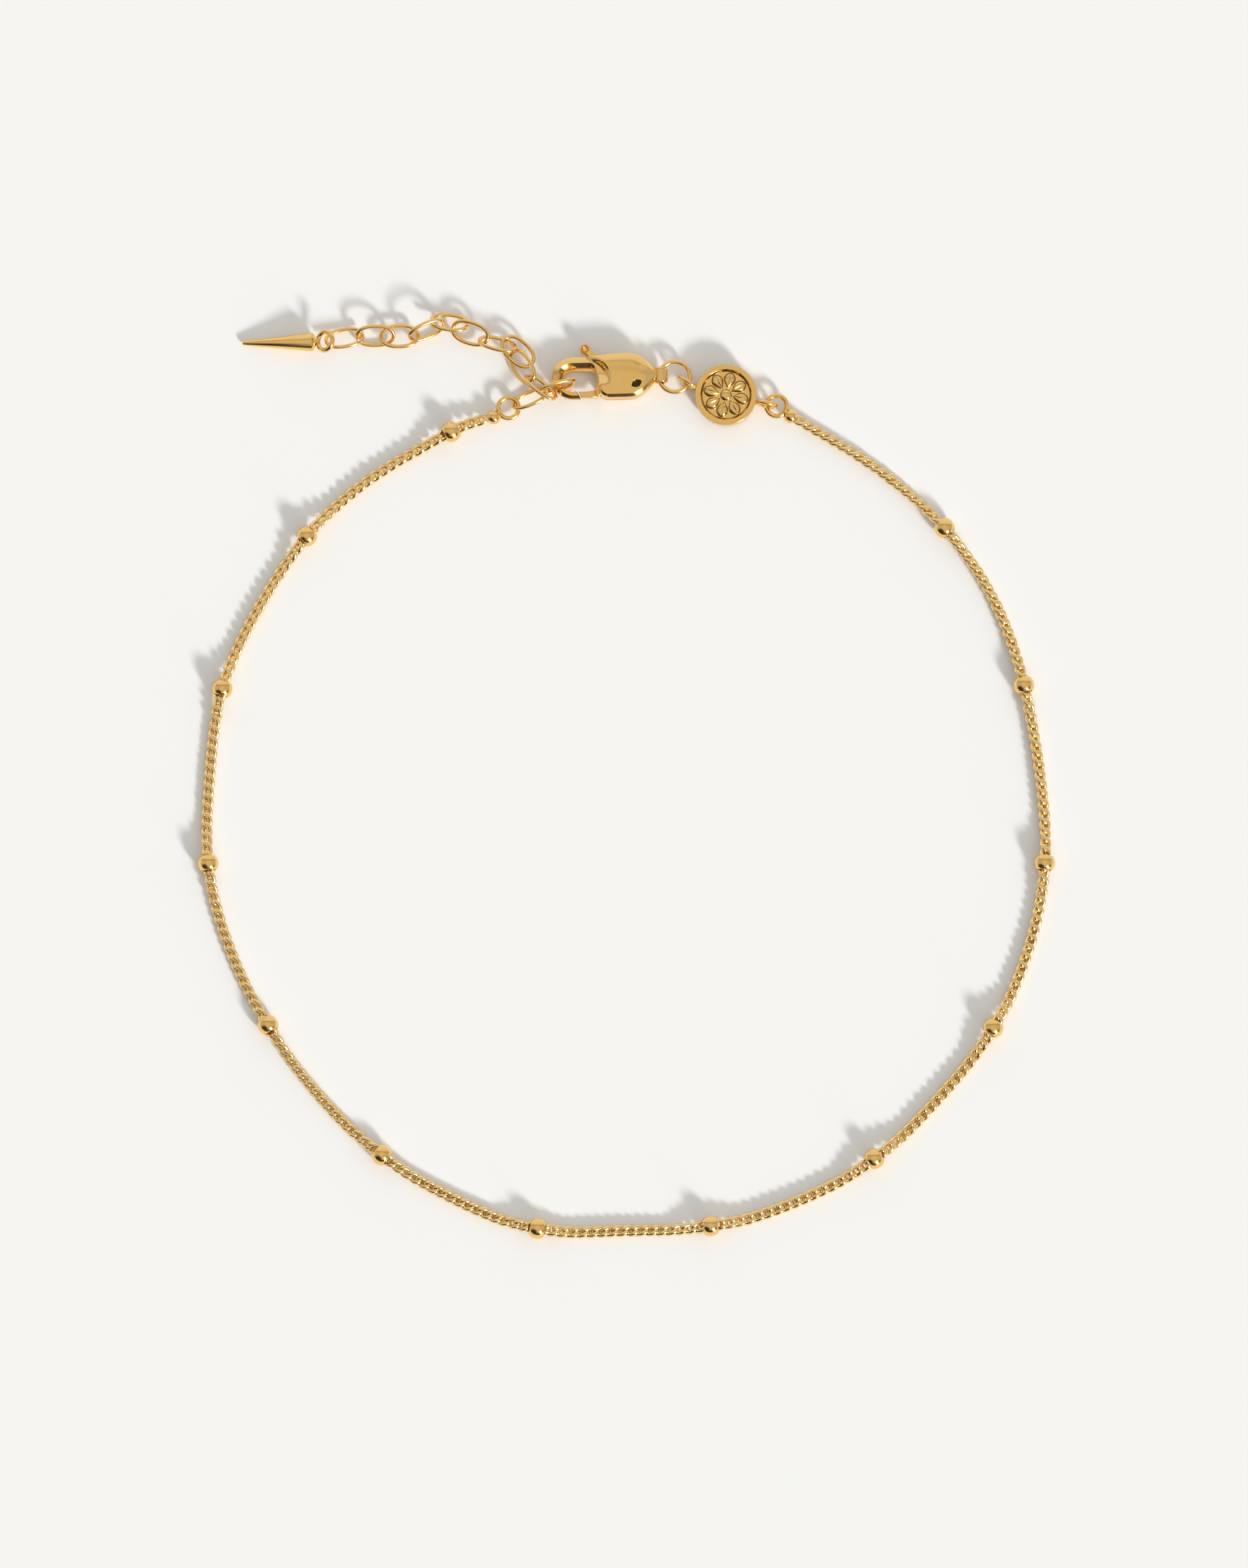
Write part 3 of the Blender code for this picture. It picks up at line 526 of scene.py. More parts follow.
def plate(outline, half, edge):
    """A plate with rounded edges: the outline moves in by edge * (1 - cos a) as the height goes to half -
    edge * (1 - sin a), for a from 0 to 90 degrees, on both faces."""
    turn = np.linspace(0, math.pi / 2, 6)[:, None]
    inset = -edge * (1 - np.cos(turn))
    height = half - edge * (1 - np.sin(turn))
    return prism(outline, np.concatenate([inset[::-1], inset]), np.concatenate([-height[::-1], height]))


def clasp_frame():
    """The clasp's middle and its three unit vectors, from the rivet that its lever turns on."""
    low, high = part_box("clasp_rivet")
    pivot = (np.array(low) + np.array(high)) / 2
    turn = math.radians(CLASP_HEADING)
    axes = np.array([(math.cos(turn), math.sin(turn), 0), (-math.sin(turn), math.cos(turn), 0), (0, 0, 1)])
    return pivot - np.array((*CLASP_PIVOT, 0)) * MM @ axes, axes


def in_clasp(points):
    """Points given in millimetres in the clasp's own frame, set down in the anklet."""
    middle, axes = clasp_frame()
    return middle + points * MM @ axes


def half_thickness(x, y):
    """Half the clasp's thickness at points of its plane: it rises from the hook's to the body's across a
    step whose front bends round the opening, is full up to the near corner, and falls again to the eye."""
    middle, half = at_stations(STEP_FRONT, y)
    step = ease(x, middle - half, middle + half)
    corner = ease(y, *CORNER_RISE[0]) * ease(x, *CORNER_RISE[1])
    rise = HOOK_HALF + (BODY_HALF - HOOK_HALF) * (1 - (1 - step) * (1 - corner))
    return np.minimum(rise, at_stations(TAIL_STATIONS, x)[0])


def body_outline():
    """The clasp's outline, a half circle round the hook's end and smooth curves along both sides, with the
    point of the clasp's spine that lies across from each of its points."""
    x = np.linspace(BODY_STATIONS[0][0], BODY_STATIONS[-1][0], 100)
    middle, half = at_stations(BODY_STATIONS, x)
    angles = np.linspace(math.pi / 2, 3 * math.pi / 2, 72)[1:-1]
    hook = np.array(HOOK_CENTRE) + HOOK_RADIUS * np.stack([np.cos(angles), np.sin(angles)], axis=1)
    near = np.stack([x, middle - half], axis=1)
    far = np.stack([x, middle + half], axis=1)
    spine_x = np.minimum(x, SPINE_END)
    spine = np.stack([spine_x, np.interp(spine_x, x, middle)], axis=1)
    hook_spine = np.broadcast_to(spine[0], hook.shape)
    return np.concatenate([hook, near, far[::-1]]), np.concatenate([hook_spine, spine, spine[::-1]])


def clasp_block():
    """The clasp's body before it is cut: from each point of the outline the bevel rises inwards by
    thickness - depth * (1 - t)^power, with t the share of the bevel's width, and the flat runs on to the
    spine. At the far bevel's end the flat lies lower by a small eased step and rises again inwards."""
    outline, spine = body_outline()
    outward = outward_of(outline)
    far_share = 0.5 + 0.5 * outward[:, 1]
    bevels = (BEVEL_WIDTH, BEVEL_DEPTH, BEVEL_POWER)
    width, depth, power = (near + (far - near) * far_share for near, far in bevels)
    width = np.minimum(width, BEVEL_MOST_WIDTH * np.linalg.norm(outline - spine, axis=1))
    t = np.array(BEVEL_ROWS)[:, None]
    bevel = outline[None] - (t * width)[..., None] * outward[None]
    inward = np.array(FLAT_ROWS)[:, None, None]
    plan = np.concatenate([bevel, bevel[-1] + inward * (spine - bevel[-1])])
    height = half_thickness(plan[..., 0], plan[..., 1])
    drop = np.minimum(depth, BEVEL_MOST_DEPTH * height[: len(t)]) * (1 - t) ** power
    past = np.linalg.norm(plan - outline, axis=2) - width
    crease = ease(past, -CREASE_WIDTH / 2, CREASE_WIDTH / 2) * (1 - ease(past, 0, CREASE_FADE))
    height = height - CREASE_DEPTH * crease * far_share * ease(plan[..., 0], *CREASE_START)
    height[: len(t)] -= drop
    top = raised(plan, height)
    return shell(in_clasp(np.concatenate([(top * (1, 1, -1))[::-1], top])))


def opening_cutter():
    """The hook's opening with its gate gap: under the face its outline draws in along a slope, wide round
    the opening, less wide at the body's near corner and narrow along the gate gap."""
    outline = even_outline(round_corners(OPENING_OUTLINE, 12), 280)
    x, y = outline.T
    wide = ease(y, *WIDE_FROM)
    corner = np.interp(x, CORNER_FROM, (0, 1)) * (1 - wide)
    shares = np.stack([wide, corner, 1 - wide - corner])
    depth, growth = np.einsum("skc,sp->ckp", SLOPES, shares)
    outward = outward_of(outline)
    growth *= 1 - BODY_SIDE_LESS * wide * ease(outward[:, 0])
    growth *= 1 - corner * ease(x, *CORNER_FADE)
    rim = outline + growth[1][:, None] * outward
    half = half_thickness(rim[:, 0], rim[:, 1])
    level = np.ones(len(half))
    heights = [
        CUTTER_HALF * level, *(half - depth), UNDER_EDGE - half, -half, -half - CUTTER_BEYOND,
        -CUTTER_HALF * level,
    ]
    last = (UNDER_EDGE + CUTTER_BEYOND) * level
    growth = [growth[0], *growth, 0 * level, UNDER_EDGE * level, last, last]
    return prism(outline, np.array(growth), np.array(heights))


def cut(piece, cutters):
    """Cuts closed shapes, given as meshes, out of a piece and keeps the result as its mesh."""
    helpers = [add_object("cutter", mesh) for mesh in cutters]
    for helper in helpers:
        modifier = piece.modifiers.new("Cut", "BOOLEAN")
        modifier.operation = "DIFFERENCE"
        modifier.solver = "EXACT"
        modifier.object = helper
    graph = bpy.context.evaluated_depsgraph_get()
    mesh = bpy.data.meshes.new_from_object(piece.evaluated_get(graph))
    piece.modifiers.clear()
    for helper in helpers:
        bpy.data.objects.remove(helper)
    shape = bmesh.new()
    shape.from_mesh(mesh)
    bmesh.ops.remove_doubles(shape, verts=shape.verts, dist=CUT_MERGE * MM)
    bmesh.ops.dissolve_degenerate(shape, edges=shape.edges, dist=CUT_SLIVER * MM)
    shape.to_mesh(mesh)
    shape.free()
    piece.data = mesh
    mesh.name = piece.name


def about_eye(along, radius, close=False):
    """A shape turned about the line across the clasp through its eye."""
    centre, across = in_clasp(np.array((EYE_CENTRE, 0, 0))), clasp_frame()[1][1]
    return lathe(centre, across, np.array(along) * MM, np.array(radius) * MM, close=close)


def clasp_body_mesh():
    """The clasp's body: the block, cut by the opening, the lever's slot and the rivet's and eye's holes."""
    piece = add_object("clasp_case", make_mesh("clasp_case", [clasp_block()]))
    slot = even_outline(round_corners([(*point, SLOT_ROUNDING) for point in SLOT_OUTLINE], 4), 160)
    slot = prism(slot, np.zeros((2, 1)), np.array([[-SLOT_HALF], [SLOT_HALF]]))
    edge = BODY_HALF - RIVET_CHAMFER
    levels = np.array([[-1.3, -BODY_HALF, -edge, edge, BODY_HALF, 1.3]]).T
    grow = np.array([[11.0, 1.0, 0.0, 0.0, 1.0, 11.0]]).T * RIVET_CHAMFER
    hole = prism(rivet_outline(RIVET_ROOM), grow, levels)
    inside = EYE_RADIUS - EYE_WALL
    cutters = [shell(in_clasp(points)) for points in (opening_cutter(), slot, hole)]
    cutters.append(about_eye([-2, -2, 2, 2], [0, inside, inside, 0]))
    cut(piece, [make_mesh("cutter", [cutter]) for cutter in cutters])
    mesh = piece.data
    bpy.data.objects.remove(piece)
    return mesh


def eye_shell():
    """The clasp's eye: a band turned about Y, its section the oval |y/length|^6 + |r/wall|^4 = 1."""
    along, out = oval(EYE_LENGTH / 2, EYE_WALL / 2, (6, 4), 32)
    return about_eye(along, EYE_RADIUS - EYE_WALL / 2 + out, close=True)


def lever_shells():
    """The lever: plates for the gate with its arm, for the nub's arm and for the boss, and the domed nub."""
    arm = even_outline(round_corners([(*point, NUB_ARM_ROUNDING) for point in NUB_ARM_OUTLINE], 4), 80)
    boss = np.array(CLASP_PIVOT) + np.stack(oval(BOSS_RADIUS, BOSS_RADIUS, steps=48), axis=1)
    plates = [plate(outline, ARM_HALF, ARM_EDGE) for outline in (arm, boss)]
    return [shell(in_clasp(points)) for points in (gate_points(), *plates, nub_points())]


def gate_points():
    """The gate and its arm: rounded rectangles |u|^7 + |v|^7 = 1 between the points of its two edges,
    thinner where the arm enters the slot, and drawn in at both ends."""
    edges = np.array(GATE_EDGES)
    places = np.linspace(0, len(edges) - 1, 60)
    far, near = np.split(smooth_through(np.arange(len(edges)), edges, places), 2, axis=1)
    half = GATE_HALF + (ARM_HALF - GATE_HALF) * ease(far[:, 0], *GATE_THINNING)
    u, v = oval(1, 1, 7, 40)
    middle, reach = (far + near) / 2, (far - near) / 2
    body = raised(middle[:, None] + u[:, None] * reach[:, None], v * half[:, None])
    centre = raised(middle[[0, -1]], 0)[:, None]
    push = np.array((((-GATE_END_PUSH, 0, 0),), ((GATE_END_PUSH, 0, 0),)))
    ends = centre + (body[[0, -1]] - centre) * GATE_END_SHARE + push
    return np.concatenate([ends[:1], body, ends[1:]])


def nub_points():
    """The nub as a domed teardrop: at bearing a its outline lies at the head's radius, drawn out along the
    stem, and its height falls from the middle as sqrt(1 - s^4), with a dish (1 - r^4)^1.5 in the head."""
    centre, end = np.array(NUB_CENTRE), np.array(NUB_STEM_END)
    length = np.linalg.norm(end - centre)
    way = (end - centre) / length
    side = np.array((-way[1], way[0]))
    leave = math.asin(NUB_STEM_HALF / NUB_RADIUS)
    bearing = np.linspace(leave, 2 * math.pi - leave, 72)
    head = centre + NUB_RADIUS * (np.cos(bearing)[:, None] * way + np.sin(bearing)[:, None] * side)
    start = NUB_RADIUS * math.cos(leave)
    run = np.linspace(start, length, 24)[1:, None]
    along = (run - start) / (length - start)
    reach = NUB_STEM_HALF + NUB_STEM_FLARE * along**2
    left, right = centre + run * way + reach * side, centre + run * way - reach * side
    outline = np.concatenate([left[::-1], head, right])
    spine_run = np.concatenate([along[::-1], np.zeros((len(head), 1)), along]) * length
    spine = centre + spine_run * way
    share = np.concatenate([np.linspace(0, 0.7, 12), np.linspace(0.76, 1.0, 10)])
    plan = spine[None] + share[:, None, None] * (outline - spine)[None]
    away = np.linalg.norm(plan - centre, axis=2)
    half = GATE_HALF + (ARM_HALF - GATE_HALF) * np.clip(spine_run[:, 0] / length, 0, 1)
    height = half * np.sqrt(np.clip(1 - share[:, None] ** 4, 0, 1))
    height = height - NUB_DISH_DEPTH * np.clip(1 - (away / NUB_DISH_RADIUS) ** 4, 0, 1) ** 1.5
    top = raised(plan, height)
    return np.concatenate([top, (top * (1, 1, -1))[::-1]])


def rivet_outline(share):
    """The rivet's hammered head, a leaf |x/length|^1.5 + |y/width|^1.5 = 1 turned in the clasp."""
    x, y = oval(RIVET_LENGTH, RIVET_WIDTH, 1.5)
    cosine, sine = math.cos(math.radians(RIVET_TURN)), math.sin(math.radians(RIVET_TURN))
    leaf = np.stack([x * cosine - y * sine, x * sine + y * cosine], axis=1)
    return np.array(CLASP_PIVOT) + share * even_outline(leaf, 64)


def rivet_shell():
    """The rivet: its outline carried from head to head, drawn in at both ends round a shallow dish."""
    profile = np.array(RIVET_PROFILE)
    share, height = np.concatenate([profile, (profile * (1, -1))[::-1]]).T
    middle = np.array(CLASP_PIVOT)
    plan = middle + share[:, None, None] * (rivet_outline(1.0) - middle)[None]
    return shell(in_clasp(raised(plan, height[:, None])))


def chain_line():
    """Points of the curb chain's centre line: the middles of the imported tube's rings of corners, which are
    told apart by their bearing from the loop's middle."""
    points = node_points("curb_chain")
    bearing = (np.arctan2(points[:, 1], points[:, 0]) - math.pi / 2) % (2 * math.pi)
    order = np.argsort(bearing)
    points, bearing = points[order], bearing[order]
    apart = np.diff(bearing) * np.hypot(points[1:, 0], points[1:, 1]) > CURB_RING_GAP * MM
    rings = np.split(points, np.flatnonzero(apart) + 1)
    return np.array([ring.mean(axis=0) for ring in rings])


def build_curb_links(sizes):
    """Links of the curb chain. In its own frame a link is an oval x, r of the power CURB_POWER, its wire at
    r turned about the chain by twist * x / a, with a half the link's length, so that its two ends stand
    nearly square to each other and pass through the next links."""
    centres = chain_line()
    low = centres[:, 2].min()
    knots = np.concatenate([[0], np.cumsum(np.linalg.norm(np.diff(centres[:, :2], axis=0), axis=1))])
    roll_places = np.linspace(0, knots[-1], 2 * len(CURB_ROLLS) + 1)[1::2]
    gap = CURB_END_GAP * MM
    count = int(round((knots[-1] - 2 * gap) / sizes.curb_pitch))
    places = np.linspace(gap, knots[-1] - gap, count + 1)
    loose = np.random.default_rng(CURB_SEED).normal(0, CURB_LOOSE_ROLL, len(places))
    roll = np.radians(np.interp(places, roll_places, CURB_ROLLS) + loose)
    half_width = sizes.curb_width / 2
    rest = half_width * np.hypot(np.sin(roll), CURB_DEPTH * np.cos(roll))
    knot_rest = np.interp(knots, places, rest)
    knot_height = np.where(centres[:, 2] < low + 0.02 * MM, knot_rest, centres[:, 2])
    row = np.clip(np.searchsorted(knots, places) - 1, 0, len(knots) - 2)
    share = ease(places, knots[row], knots[row + 1])
    height = knot_height[row] + (knot_height[row + 1] - knot_height[row]) * share
    middle = np.column_stack([smooth_through(knots, centres[:, :2], places), height])
    tangent = unit(np.gradient(middle, axis=0))
    across = unit(np.cross((0, 0, 1), tangent))
    up = np.cross(tangent, across)
    side = np.cos(roll)[:, None] * across + np.sin(roll)[:, None] * up
    wire = sizes.curb_wire
    half_length = (places[1] - places[0] + wire) / 2
    link = np.stack(oval(half_length, (sizes.curb_width - wire) / 2, CURB_POWER, 240), axis=1)
    x, r = even_outline(link, CURB_STEPS).T
    turn = sizes.curb_twist * x / half_length
    shares = np.stack([x, r * np.cos(turn), r * np.sin(turn)], axis=1)
    own = np.einsum("sa,lac->lsc", shares, np.stack([tangent, side, np.cross(tangent, side)], axis=1))
    path = middle[:, None] + own
    return shell(wire_along(path, own, CURB_WIRE_RADIUS * wire, CURB_SIDES), rows_close=True)


def bead_shell(middle, axis, sizes):
    """A bead turned about the chain: its outside is rim + bulge * cos(a)^power at length * sin(a), and its
    bore is straight with rounded mouths."""
    half, bore, outer = sizes.bead_length / 2, sizes.bead_bore / 2, sizes.bead_diameter / 2
    rim = bore + BEAD_WALL * MM
    angle = np.linspace(-math.pi / 2, math.pi / 2, 25)
    radius = rim + (outer - rim) * np.cos(angle).clip(0) ** BEAD_POWER
    mouth = np.array(BEAD_MOUTH)
    place, growth = np.concatenate([mouth, mouth[-2::-1] * (-1, 1)]).T
    reach = half * np.concatenate([np.sin(angle), place])
    return lathe(middle, axis, reach, np.concatenate([radius, bore + growth * MM]), 48, close=True)


def end_ring_shells(node):
    """A ring, and a neck with its ball turned about the line from the ring to the ball."""
    points = node_points(node)
    middle, axes, half = lie_of(points)
    reach = (points - middle) @ axes.T
    tall = np.abs(reach[:, 2])
    ends = reach[:, 0] / half[0]
    if tall[ends < -0.6].max() > tall[ends > 0.6].max():
        axes = axes * np.array((-1, -1, 1))[:, None]
    ring = middle - axes[0] * (half[0] - (END_RING_RADIUS + END_RING_WIRE / 2) * MM)
    torus = oval_wire(ring, axes, END_RING_RADIUS * MM, END_RING_RADIUS * MM, END_RING_WIRE * MM)
    angles = np.radians(np.linspace(*END_BALL_ARC, 22))
    ball = np.stack([np.cos(angles), np.sin(angles)], axis=1) * END_BALL_RADIUS + (END_BALL_PLACE, 0)
    profile = np.concatenate([END_NECK, ball, END_TAIL]) * MM
    return [torus, lathe(ring, axes[0], profile[:, 0], profile[:, 1], 48)]


def spike_shells():
    """The cone with a rounded tip, a bevelled base and its cap, turned about its axis, and its ring."""
    points = node_points("spike_charm")
    lean = math.atan2((SPIKE_DIAMETER - SPIKE_TIP) / 2, SPIKE_LENGTH)
    tip = points[points[:, 0] < points[:, 0].min() + 0.001 * MM].mean(axis=0)
    axis = np.array((-math.cos(lean), 0, -math.sin(lean)))
    base = tip - axis * SPIKE_LENGTH * MM
    angles = np.radians(np.linspace(90, 8, 8))
    nose = np.stack([
        SPIKE_LENGTH - SPIKE_NOSE_LENGTH * (1 - np.sin(angles)),
        SPIKE_NOSE_RADIUS * np.cos(angles),
    ], axis=1)
    edge = np.array(SPIKE_BASE) * (1, -1) + (0, SPIKE_DIAMETER / 2)
    profile = np.concatenate([nose, edge, SPIKE_CAP]) * MM
    tilt = math.radians(SPIKE_RING_TIP) + lean
    radius = (SPIKE_RING - SPIKE_RING_WIRE) / 2 * MM
    along = np.array((-math.cos(tilt), 0, -math.sin(tilt)))
    middle = base - axis * SPIKE_CAP_LENGTH * MM - along * radius
    axes = np.array([along, (0, -1, 0), np.cross(along, (0, -1, 0))])
    ring = oval_wire(middle, axes, radius, radius, SPIKE_RING_WIRE * MM)
    return [lathe(base, axis, profile[:, 0], profile[:, 1]), ring]


def tag_relief(share, angle):
    """Height of the tag's face over its field: a flat rim, a domed centre, and petals whose half width goes
    as sin(pi l)^0.75 and whose height falls to their edges as 1 - q^4, with a groove along each."""
    rim_start = 1 - TAG_RIM / TAG_RADIUS
    rim = np.clip(1 - (rim_start - share) / TAG_WALL, 0, 1)
    length = np.clip((share - TAG_PETAL_START) / (TAG_PETAL_END - TAG_PETAL_START), 0, 1)
    swell = np.sin(math.pi * length).clip(0)
    off_axis = np.abs((angle * TAG_PETALS / (2 * math.pi) + 0.5) % 1 - 0.5) * 2
    width = TAG_PETAL_WIDTH * swell.clip(1e-6) ** 0.75
    petal = np.clip(1 - (off_axis / width) ** 4, 0, 1) * swell**0.5
    petal -= TAG_GROOVE_DEPTH * np.exp(-((off_axis / TAG_GROOVE_WIDTH) ** 2)) * swell
    button = np.sqrt(np.clip(1 - (share / TAG_BUTTON) ** 2, 0, 1))
    return TAG_RELIEF * np.maximum.reduce([rim, petal, button])


def tag_shells():
    """The tag's disc as one turned grid, its face lifted by the relief, and its two soldered eyes."""
    points = node_points("tag_disc")
    mid_height = (points[:, 2].min() + points[:, 2].max()) / 2
    back = points[np.abs(points[:, 2] - mid_height + TAG_HALF * MM) < 0.001 * MM]
    centre = np.array((*back[:, :2].mean(axis=0), mid_height))
    inner = 1 - TAG_EDGE
    runs = ((0, 0.82, 70), (0.832, 0.86, 8), (0.88, inner, 6))
    share = np.concatenate([np.linspace(*run) for run in runs])
    angle = np.arange(TAG_STEPS) * 2 * math.pi / TAG_STEPS
    face = TAG_HALF - TAG_RELIEF + tag_relief(*np.meshgrid(share, angle, indexing="ij"))
    edge = np.radians(np.linspace(0, 90, 5))
    share = np.concatenate([
        share, inner + TAG_EDGE * np.sin(edge), [1.0, 1.0], inner + TAG_EDGE * np.cos(edge), [0.5, 0.0],
    ])
    rim_height = np.concatenate([
        TAG_HALF - TAG_EDGE_DEPTH * (1 - np.cos(edge)), [0.2, -0.2],
        -TAG_HALF + TAG_EDGE_DEPTH * (1 - np.sin(edge)), [-TAG_HALF, -TAG_HALF],
    ])
    height = np.concatenate([face, rim_height[:, None] * np.ones(TAG_STEPS)])
    turned = angle + math.radians(TAG_HEADING)
    plan = share[:, None, None] * TAG_RADIUS * np.stack([np.cos(turned), np.sin(turned)], axis=-1)
    shells = [shell(centre + raised(plan, height) * MM)]
    tall = points[np.abs(points[:, 2] - mid_height) > 0.5 * MM]
    radius = (TAG_EYE_RADIUS - TAG_EYE_WIRE / 2) * MM
    for side in (-1, 1):
        eye = tall[(tall[:, 0] - centre[0]) * side > 0]
        flat = eye[:, :2] - eye[:, :2].mean(axis=0)
        way = (*np.linalg.eigh(np.cov(flat.T))[1][:, -1], 0)
        axes = np.array([way, (0, 0, 1), np.cross(way, (0, 0, 1))])
        shells.append(oval_wire(lie_of(eye)[0], axes, radius, radius, TAG_EYE_WIRE * MM))
    return shells


def add_node(tree, kind, inputs=(), **settings):
    """A node of a kind with its settings, each of its inputs joined to a socket or set to a value."""
    node = tree.nodes.new(kind)
    for name, value in settings.items():
        setattr(node, name, value)
    for name, value in dict(inputs).items():
        if isinstance(value, bpy.types.NodeSocket):
            tree.links.new(value, node.inputs[name])
        else:
            node.inputs[name].default_value = value
    return node


def smooth_step(tree, value, start, end):
    """A socket that eases from 0 to 1 while the value goes from start to end."""
    inputs = {"Value": value, "From Min": start, "From Max": end}
    node = add_node(tree, "ShaderNodeMapRange", inputs, interpolation_type="SMOOTHSTEP")
    return node.outputs["Result"]


def calculate(tree, operation, *values):
    """A socket with the result of a math operation on sockets."""
    return add_node(tree, "ShaderNodeMath", enumerate(values), operation=operation).outputs[0]


def along_way(tree, direction, way):
    """A socket with how far a direction runs along a way."""
    node = add_node(tree, "ShaderNodeVectorMath", {0: direction, 1: way}, operation="DOT_PRODUCT")
    return node.outputs["Value"]


def blend(tree, kind, factor, first, second):
    """A socket with two colours blended, each a socket or a plain colour."""
    inputs = {"Factor": factor, "A": first, "B": second}
    return add_node(tree, "ShaderNodeMix", inputs, data_type="RGBA", blend_type=kind).outputs["Result"]


def grey_ramp(tree, value, stops, interpolation="LINEAR"):
    """A socket with greys that go from stop to stop as the value does."""
    node = add_node(tree, "ShaderNodeValToRGB", {"Fac": value})
    ramp = node.color_ramp
    ramp.interpolation = interpolation
    while len(ramp.elements) < len(stops):
        ramp.elements.new(0.5)
    for element, (place, grey) in zip(ramp.elements, stops):
        element.position = place
        element.color = (grey, grey, grey, 1.0)
    return node.outputs["Color"]


def build_finish_group():
    """Node group: the uneven polish of hand-finished gold, as a roughness, a height and a tone."""
    group = bpy.data.node_groups.new("hand_polish", "ShaderNodeTree")
    inputs = (("Patch scale", 900.0), ("Mark scale", 9000.0), ("Roughness", 0.14), ("Spread", 0.08))
    for name, default in inputs:
        socket = group.interface.new_socket(name, in_out="INPUT", socket_type="NodeSocketFloat")
        socket.default_value = default
    for name in ("Roughness", "Height", "Tone"):
        group.interface.new_socket(name, in_out="OUTPUT", socket_type="NodeSocketFloat")
    given = add_node(group, "NodeGroupInput").outputs
    place = add_node(group, "ShaderNodeTexCoord").outputs["Object"]
    inputs = {"Vector": place, "Scale": given["Patch scale"], "Detail": 3}
    patches = add_node(group, "ShaderNodeTexNoise", inputs).outputs["Fac"]
    inputs = {"Vector": place, "Scale": (1.0, 0.25, 1.0), "Rotation": (0.3, 0.2, 0.6)}
    stretch = add_node(group, "ShaderNodeMapping", inputs).outputs["Vector"]
    inputs = {"Vector": stretch, "Scale": given["Mark scale"], "Detail": 2}
    marks = add_node(group, "ShaderNodeTexNoise", inputs).outputs["Fac"]
    spread = calculate(group, "MULTIPLY", patches, given["Spread"])
    total = calculate(group, "ADD", spread, given["Roughness"])
    add_node(group, "NodeGroupOutput", {"Roughness": total, "Height": marks, "Tone": patches})
    return group


def metal(name, roughness, first, second, patch_scale=900.0):
    """A metal whose two tones are mixed by the patches of its polish, with its shader and its polish."""
    material = bpy.data.materials.new(name)
    material.use_nodes = True
    tree = material.node_tree
    shader = tree.nodes["Principled BSDF"]
    shader.inputs["Metallic"].default_value = 1.0
    group = bpy.data.node_groups.get("hand_polish") or build_finish_group()
    inputs = {"Patch scale": patch_scale, "Roughness": roughness}
    finish = add_node(tree, "ShaderNodeGroup", inputs, node_tree=group)
    tone = blend(tree, "MIX", finish.outputs["Tone"], first, second)
    tree.links.new(tone, shader.inputs["Base Color"])
    tree.links.new(finish.outputs["Roughness"], shader.inputs["Roughness"])
    return material, shader, finish


def gold(name, roughness=0.12, pale=False):
    """A polished gold: two close golds mixed by the patches of its polish, over fine marks; with pale, the
    paler sheen gold is mixed in as painted sheen.
    """
    existing = bpy.data.materials.get(name)
    if existing:
        return existing
    colours = bpy.context.scene.anklet_colours
    tones = (colours.sheen_gold, colours.gold) if pale else (colours.gold, colours.deep_gold)
    material, shader, finish = metal(name, roughness, *tones)
    inputs = {"Strength": 0.5, "Distance": MARK_DEPTH * MM, "Height": finish.outputs["Height"]}
    bump = add_node(material.node_tree, "ShaderNodeBump", inputs)
    material.node_tree.links.new(bump.outputs["Normal"], shader.inputs["Normal"])
    material.diffuse_color = colours.gold
    return material


def tag_gold():
    """The tag's gold, with painted shade in brown on the sides between field and raised parts, where its
    recesses lie in shade.
    """
    material = gold("tag_gold", 0.14)
    tree = material.node_tree
    low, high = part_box("tag_disc")
    mid_height = (low[2] + high[2]) / 2
    place = add_node(tree, "ShaderNodeTexCoord").outputs["Object"]
    height = add_node(tree, "ShaderNodeSeparateXYZ", {"Vector": place}).outputs["Z"]
    rise = add_node(tree, "ShaderNodeMapRange", {
        "Value": height, "From Min": mid_height + (TAG_HALF - TAG_RELIEF) * MM,
        "From Max": mid_height + TAG_HALF * MM,
    })
    # Painted shade: the tag's colour turns brown low on the sides of its recesses, by its height over the
    # field
    recess_shade = grey_ramp(tree, rise.outputs["Result"], TAG_WALL_SHADE_STOPS)
    base = tree.nodes["Principled BSDF"].inputs["Base Color"]
    tree.links.new(blend(tree, "MIX", recess_shade, base.links[0].from_socket, TAG_SHADE_BROWN), base)
    return material


def rivet_shade_metal():
    """The rivet's near-black metal, painted shade of its recessed head, mottled by its polish."""
    return metal("rivet_shade", 0.28, *RIVET_SHADE_TONES, RIVET_SHADE_PATCHES)[0]


class ANKLET_OT_curb_chain(bpy.types.Operator):
    """Build the curb chain from end ring to end ring, link by link"""

    bl_idname = "anklet.curb_chain"
    bl_label = "Curb Chain"

    def execute(self, context):
        mesh = make_mesh("curb_links", [build_curb_links(context.scene.anklet_sizes)], sharp=180)
        # The curb chain's gold is lightened with the paler sheen gold, painted sheen
        add_piece("curb_links", mesh, gold("chain_gold", pale=True), ANKLET, "curb_chain")
        return {"FINISHED"}


class ANKLET_OT_beads(bpy.types.Operator):
    """Build the drilled beads on the chain"""

    bl_idname = "anklet.beads"
    bl_label = "Beads"

    def execute(self, context):
        for node in sorted(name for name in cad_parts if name.startswith("bead_")):
            middle, axes = lie_of(node_points(node))[:2]
            name = node.replace("bead", "rondelle")
            bead = bead_shell(middle, axes[2], context.scene.anklet_sizes)
            add_piece(name, [bead], gold("bead_gold"), ANKLET, node)
        return {"FINISHED"}


